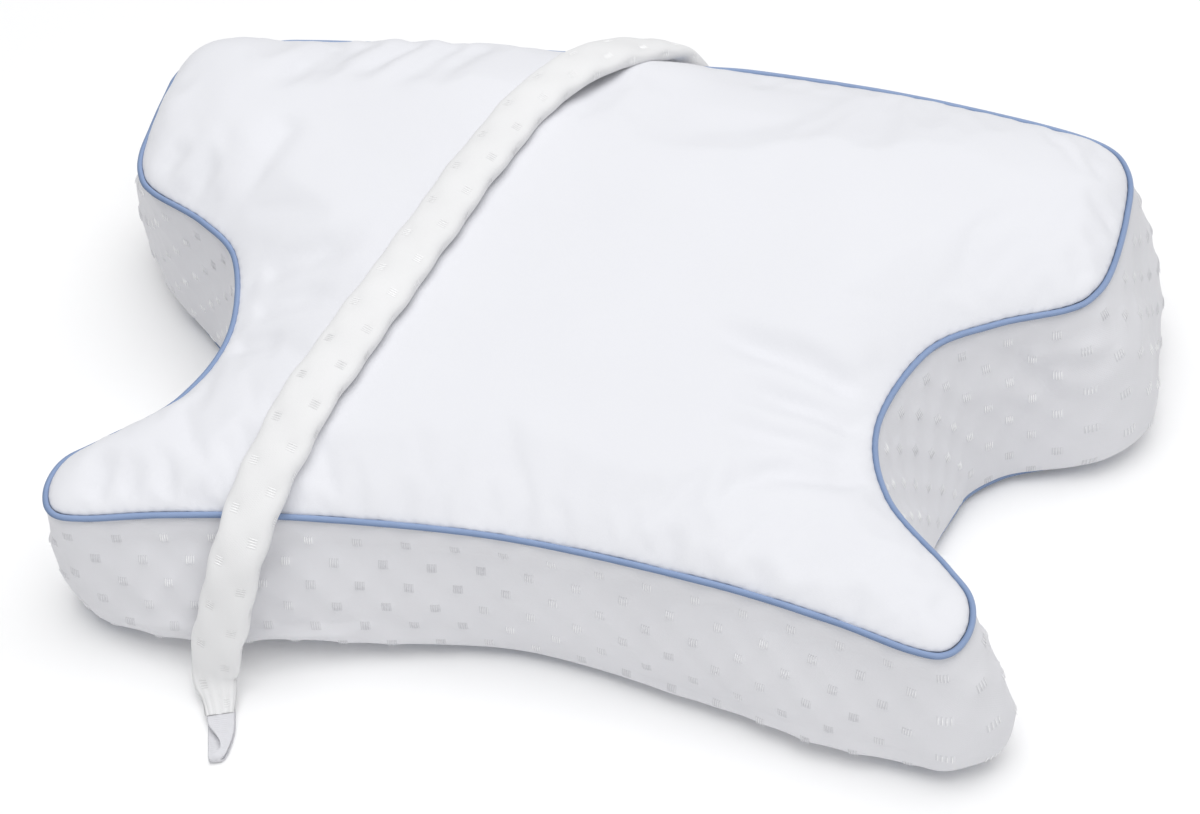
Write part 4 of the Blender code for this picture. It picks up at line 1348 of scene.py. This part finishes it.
class CUSHION_OT_ribbon_tab(bpy.types.Operator):
    """Make the folded ribbon at the tether's free end"""

    bl_idname = "cushion.ribbon_tab"
    bl_label = "Ribbon tab"

    def execute(self, context):
        heading = math.radians(TAB_HEADING_DEG)
        ahead = np.array((math.cos(heading), math.sin(heading), 0.0))
        side = np.array((-ahead[1], ahead[0], 0.0))
        origin = np.array((*TAB_START, TAB_LIFT)) - ahead * TAB_HELD
        grids = [self.loop_grid(origin, ahead, side, inset) for inset in (0.0, TAB_RIBBON)]
        count, across = grids[0].shape[:2]
        verts = np.vstack([g.reshape(-1, 3) for g in grids])
        faces, uvs = [], []
        inner = count * across
        for i in range(count):
            j = (i + 1) % count
            for k in range(across - 1):
                corners = (i * across + k, j * across + k, j * across + k + 1, i * across + k + 1)
                faces.append(corners)
                faces.append(tuple(v + inner for v in reversed(corners)))
                u0, u1 = TAB_FULL * 2 * i / count, TAB_FULL * 2 * (i + 1) / count
                v0, v1 = TAB_WIDTH * k / across, TAB_WIDTH * (k + 1) / across
                uvs += [(u0, v0), (u1, v0), (u1, v1), (u0, v1)]
                uvs += [(u0, v1), (u1, v1), (u1, v0), (u0, v0)]
            for edge in (0, across - 1):
                faces.append((i * across + edge, j * across + edge, j * across + edge + inner,
                              i * across + edge + inner))
                uvs += [(0.0, 0.0)] * 4
        satin = ribbon_material(context.scene.cushion_colours.ribbon)
        ribbon = add_mesh("ribbon_tab", verts, faces, satin, uvs)
        face_outwards(ribbon)
        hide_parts("tether_tab")
        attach(ribbon, BODY)
        return {"FINISHED"}

    def loop_grid(self, origin, ahead, side, inset):
        """Points round the folded ribbon and across it."""
        radius = TAB_HEIGHT / 2 - inset
        half = TAB_STEPS_ROUND // 2
        profile = []
        for centre, start in ((TAB_FULL - TAB_HEIGHT / 2, -90.0), (TAB_HEIGHT / 2, 90.0)):
            for k in range(half // 2):
                a = math.radians(start + 180.0 * k / (half // 2 - 1))
                profile.append((centre + radius * math.cos(a), TAB_HEIGHT / 2 + radius * math.sin(a)))
            far = TAB_HEIGHT / 2 if centre > TAB_FULL / 2 else TAB_FULL - TAB_HEIGHT / 2
            level = TAB_HEIGHT / 2 + radius * math.sin(math.radians(start + 180.0))
            for k in range(1, half // 2):
                profile.append((centre + (far - centre) * k / (half // 2), level))
        grid = []
        for run, rise in profile:
            part = run / TAB_FULL
            narrowed = max(0.0, part - TAB_TAPER_FROM) / (1 - TAB_TAPER_FROM)
            right = TAB_WIDTH * (0.5 - TAB_TAPER * narrowed ** TAB_TAPER_POWER)
            left = -TAB_WIDTH / 2
            if rise > TAB_HEIGHT / 2:
                skew = smooth_step(part, TAB_SKEW_FROM, TAB_SKEW_FULL)
                skew *= 1 - smooth_step(part, TAB_SKEW_FULL, TAB_SKEW_TO)
                left += (right - left) * TAB_SKEW * skew
            nose = max(0.0, part - TAB_NOSE_FROM) / (1 - TAB_NOSE_FROM)
            rounding = TAB_NOSE_ROUND * (1 - math.sqrt(1 - nose * nose))
            left, right = left + rounding, right - rounding
            row = []
            for k in range(TAB_STEPS_ACROSS + 1):
                off = left + (right - left) * k / TAB_STEPS_ACROSS
                row.append(origin + ahead * run + side * off + np.array((0.0, 0.0, rise)))
            grid.append(row)
        return np.array(grid)


class CUSHION_OT_stage(bpy.types.Operator):
    """Make the floor, the lights and the camera"""

    bl_idname = "cushion.stage"
    bl_label = "Stage"

    def execute(self, context):
        stage = context.scene.cushion_stage
        corners = [(x * FLOOR_REACH, y * FLOOR_REACH, 0) for x, y in ((-1, -1), (1, -1), (1, 1), (-1, 1))]
        white = floor_material(stage.floor, stage.floor_glow)
        floor = add_mesh("studio_floor", corners, [(0, 1, 2, 3)], white)
        world = bpy.data.worlds.new("studio_dome")
        world.use_nodes = True
        background = world.node_tree.nodes["Background"]
        background.inputs["Color"].default_value = DOME_COLOUR
        background.inputs["Strength"].default_value = stage.dome
        context.scene.world = world
        self.add_light("overhead_softbox", OVERHEAD_PLACE, OVERHEAD_SIZE, stage.overhead)
        self.add_light("front_softbox", FRONT_PLACE, FRONT_SIZE, stage.front)
        context.scene.camera = self.add_camera()
        context.scene.view_settings.view_transform = "Standard"
        return {"FINISHED"}

    def add_light(self, name, place, size, power):
        data = bpy.data.lights.new(name, "AREA")
        data.shape = "SQUARE"
        data.size = size
        data.energy = power
        light = add_object(name, data)
        light.location = place
        light.rotation_euler = (Vector(LIGHT_TARGET) - Vector(place)).to_track_quat("-Z", "Y").to_euler()

    def add_camera(self):
        turn, raised = math.radians(CAMERA_TURN_DEG), math.radians(CAMERA_RAISE_DEG)
        roll = math.radians(CAMERA_ROLL_DEG)
        level = math.cos(raised)
        back = Vector((math.sin(turn) * level, -math.cos(turn) * level, math.sin(raised)))
        right = Vector((math.cos(turn), math.sin(turn), 0.0))
        up = back.cross(right)
        rolled_right = right * math.cos(roll) - up * math.sin(roll)
        rolled_up = right * math.sin(roll) + up * math.cos(roll)
        data = bpy.data.cameras.new("photo_camera")
        data.lens = CAMERA_LENS_MM
        data.sensor_width = CAMERA_SENSOR_MM
        camera = add_object("photo_camera", data)
        axes = Matrix((rolled_right, rolled_up, back)).transposed().to_4x4()
        axes.translation = Vector(CAMERA_TARGET) + back * CAMERA_DISTANCE
        camera.matrix_world = axes
        return camera


class CUSHION_PT_panel(bpy.types.Panel):
    """Steps that dress the cushion"""

    bl_label = "Hose Tether Cushion"
    bl_space_type = "VIEW_3D"
    bl_region_type = "UI"
    bl_category = "Cushion"

    def draw(self, context):
        for step in STEPS:
            self.layout.operator(step.bl_idname)
        scene = context.scene
        for group in (scene.cushion_sizes, scene.cushion_colours, scene.cushion_stage):
            box = self.layout.box()
            for label in group.__annotations__:
                box.prop(group, label)


STEPS = (CUSHION_OT_stage, CUSHION_OT_filled_body, CUSHION_OT_panels, CUSHION_OT_piping,
         CUSHION_OT_woven_squares, CUSHION_OT_tether, CUSHION_OT_ribbon_tab)
CLASSES = (CushionSettings, ColourSettings, StageSettings, *STEPS, CUSHION_PT_panel)


def register():
    for cls in CLASSES:
        bpy.utils.register_class(cls)
    bpy.types.Scene.cushion_sizes = bpy.props.PointerProperty(type=CushionSettings)
    bpy.types.Scene.cushion_colours = bpy.props.PointerProperty(type=ColourSettings)
    bpy.types.Scene.cushion_stage = bpy.props.PointerProperty(type=StageSettings)


def unregister():
    del bpy.types.Scene.cushion_stage
    del bpy.types.Scene.cushion_colours
    del bpy.types.Scene.cushion_sizes
    for cls in reversed(CLASSES):
        bpy.utils.unregister_class(cls)


def main():
    register()
    for step in STEPS:
        group, name = step.bl_idname.split(".")
        getattr(getattr(bpy.ops, group), name)()


if __name__ == "__main__":
    main()
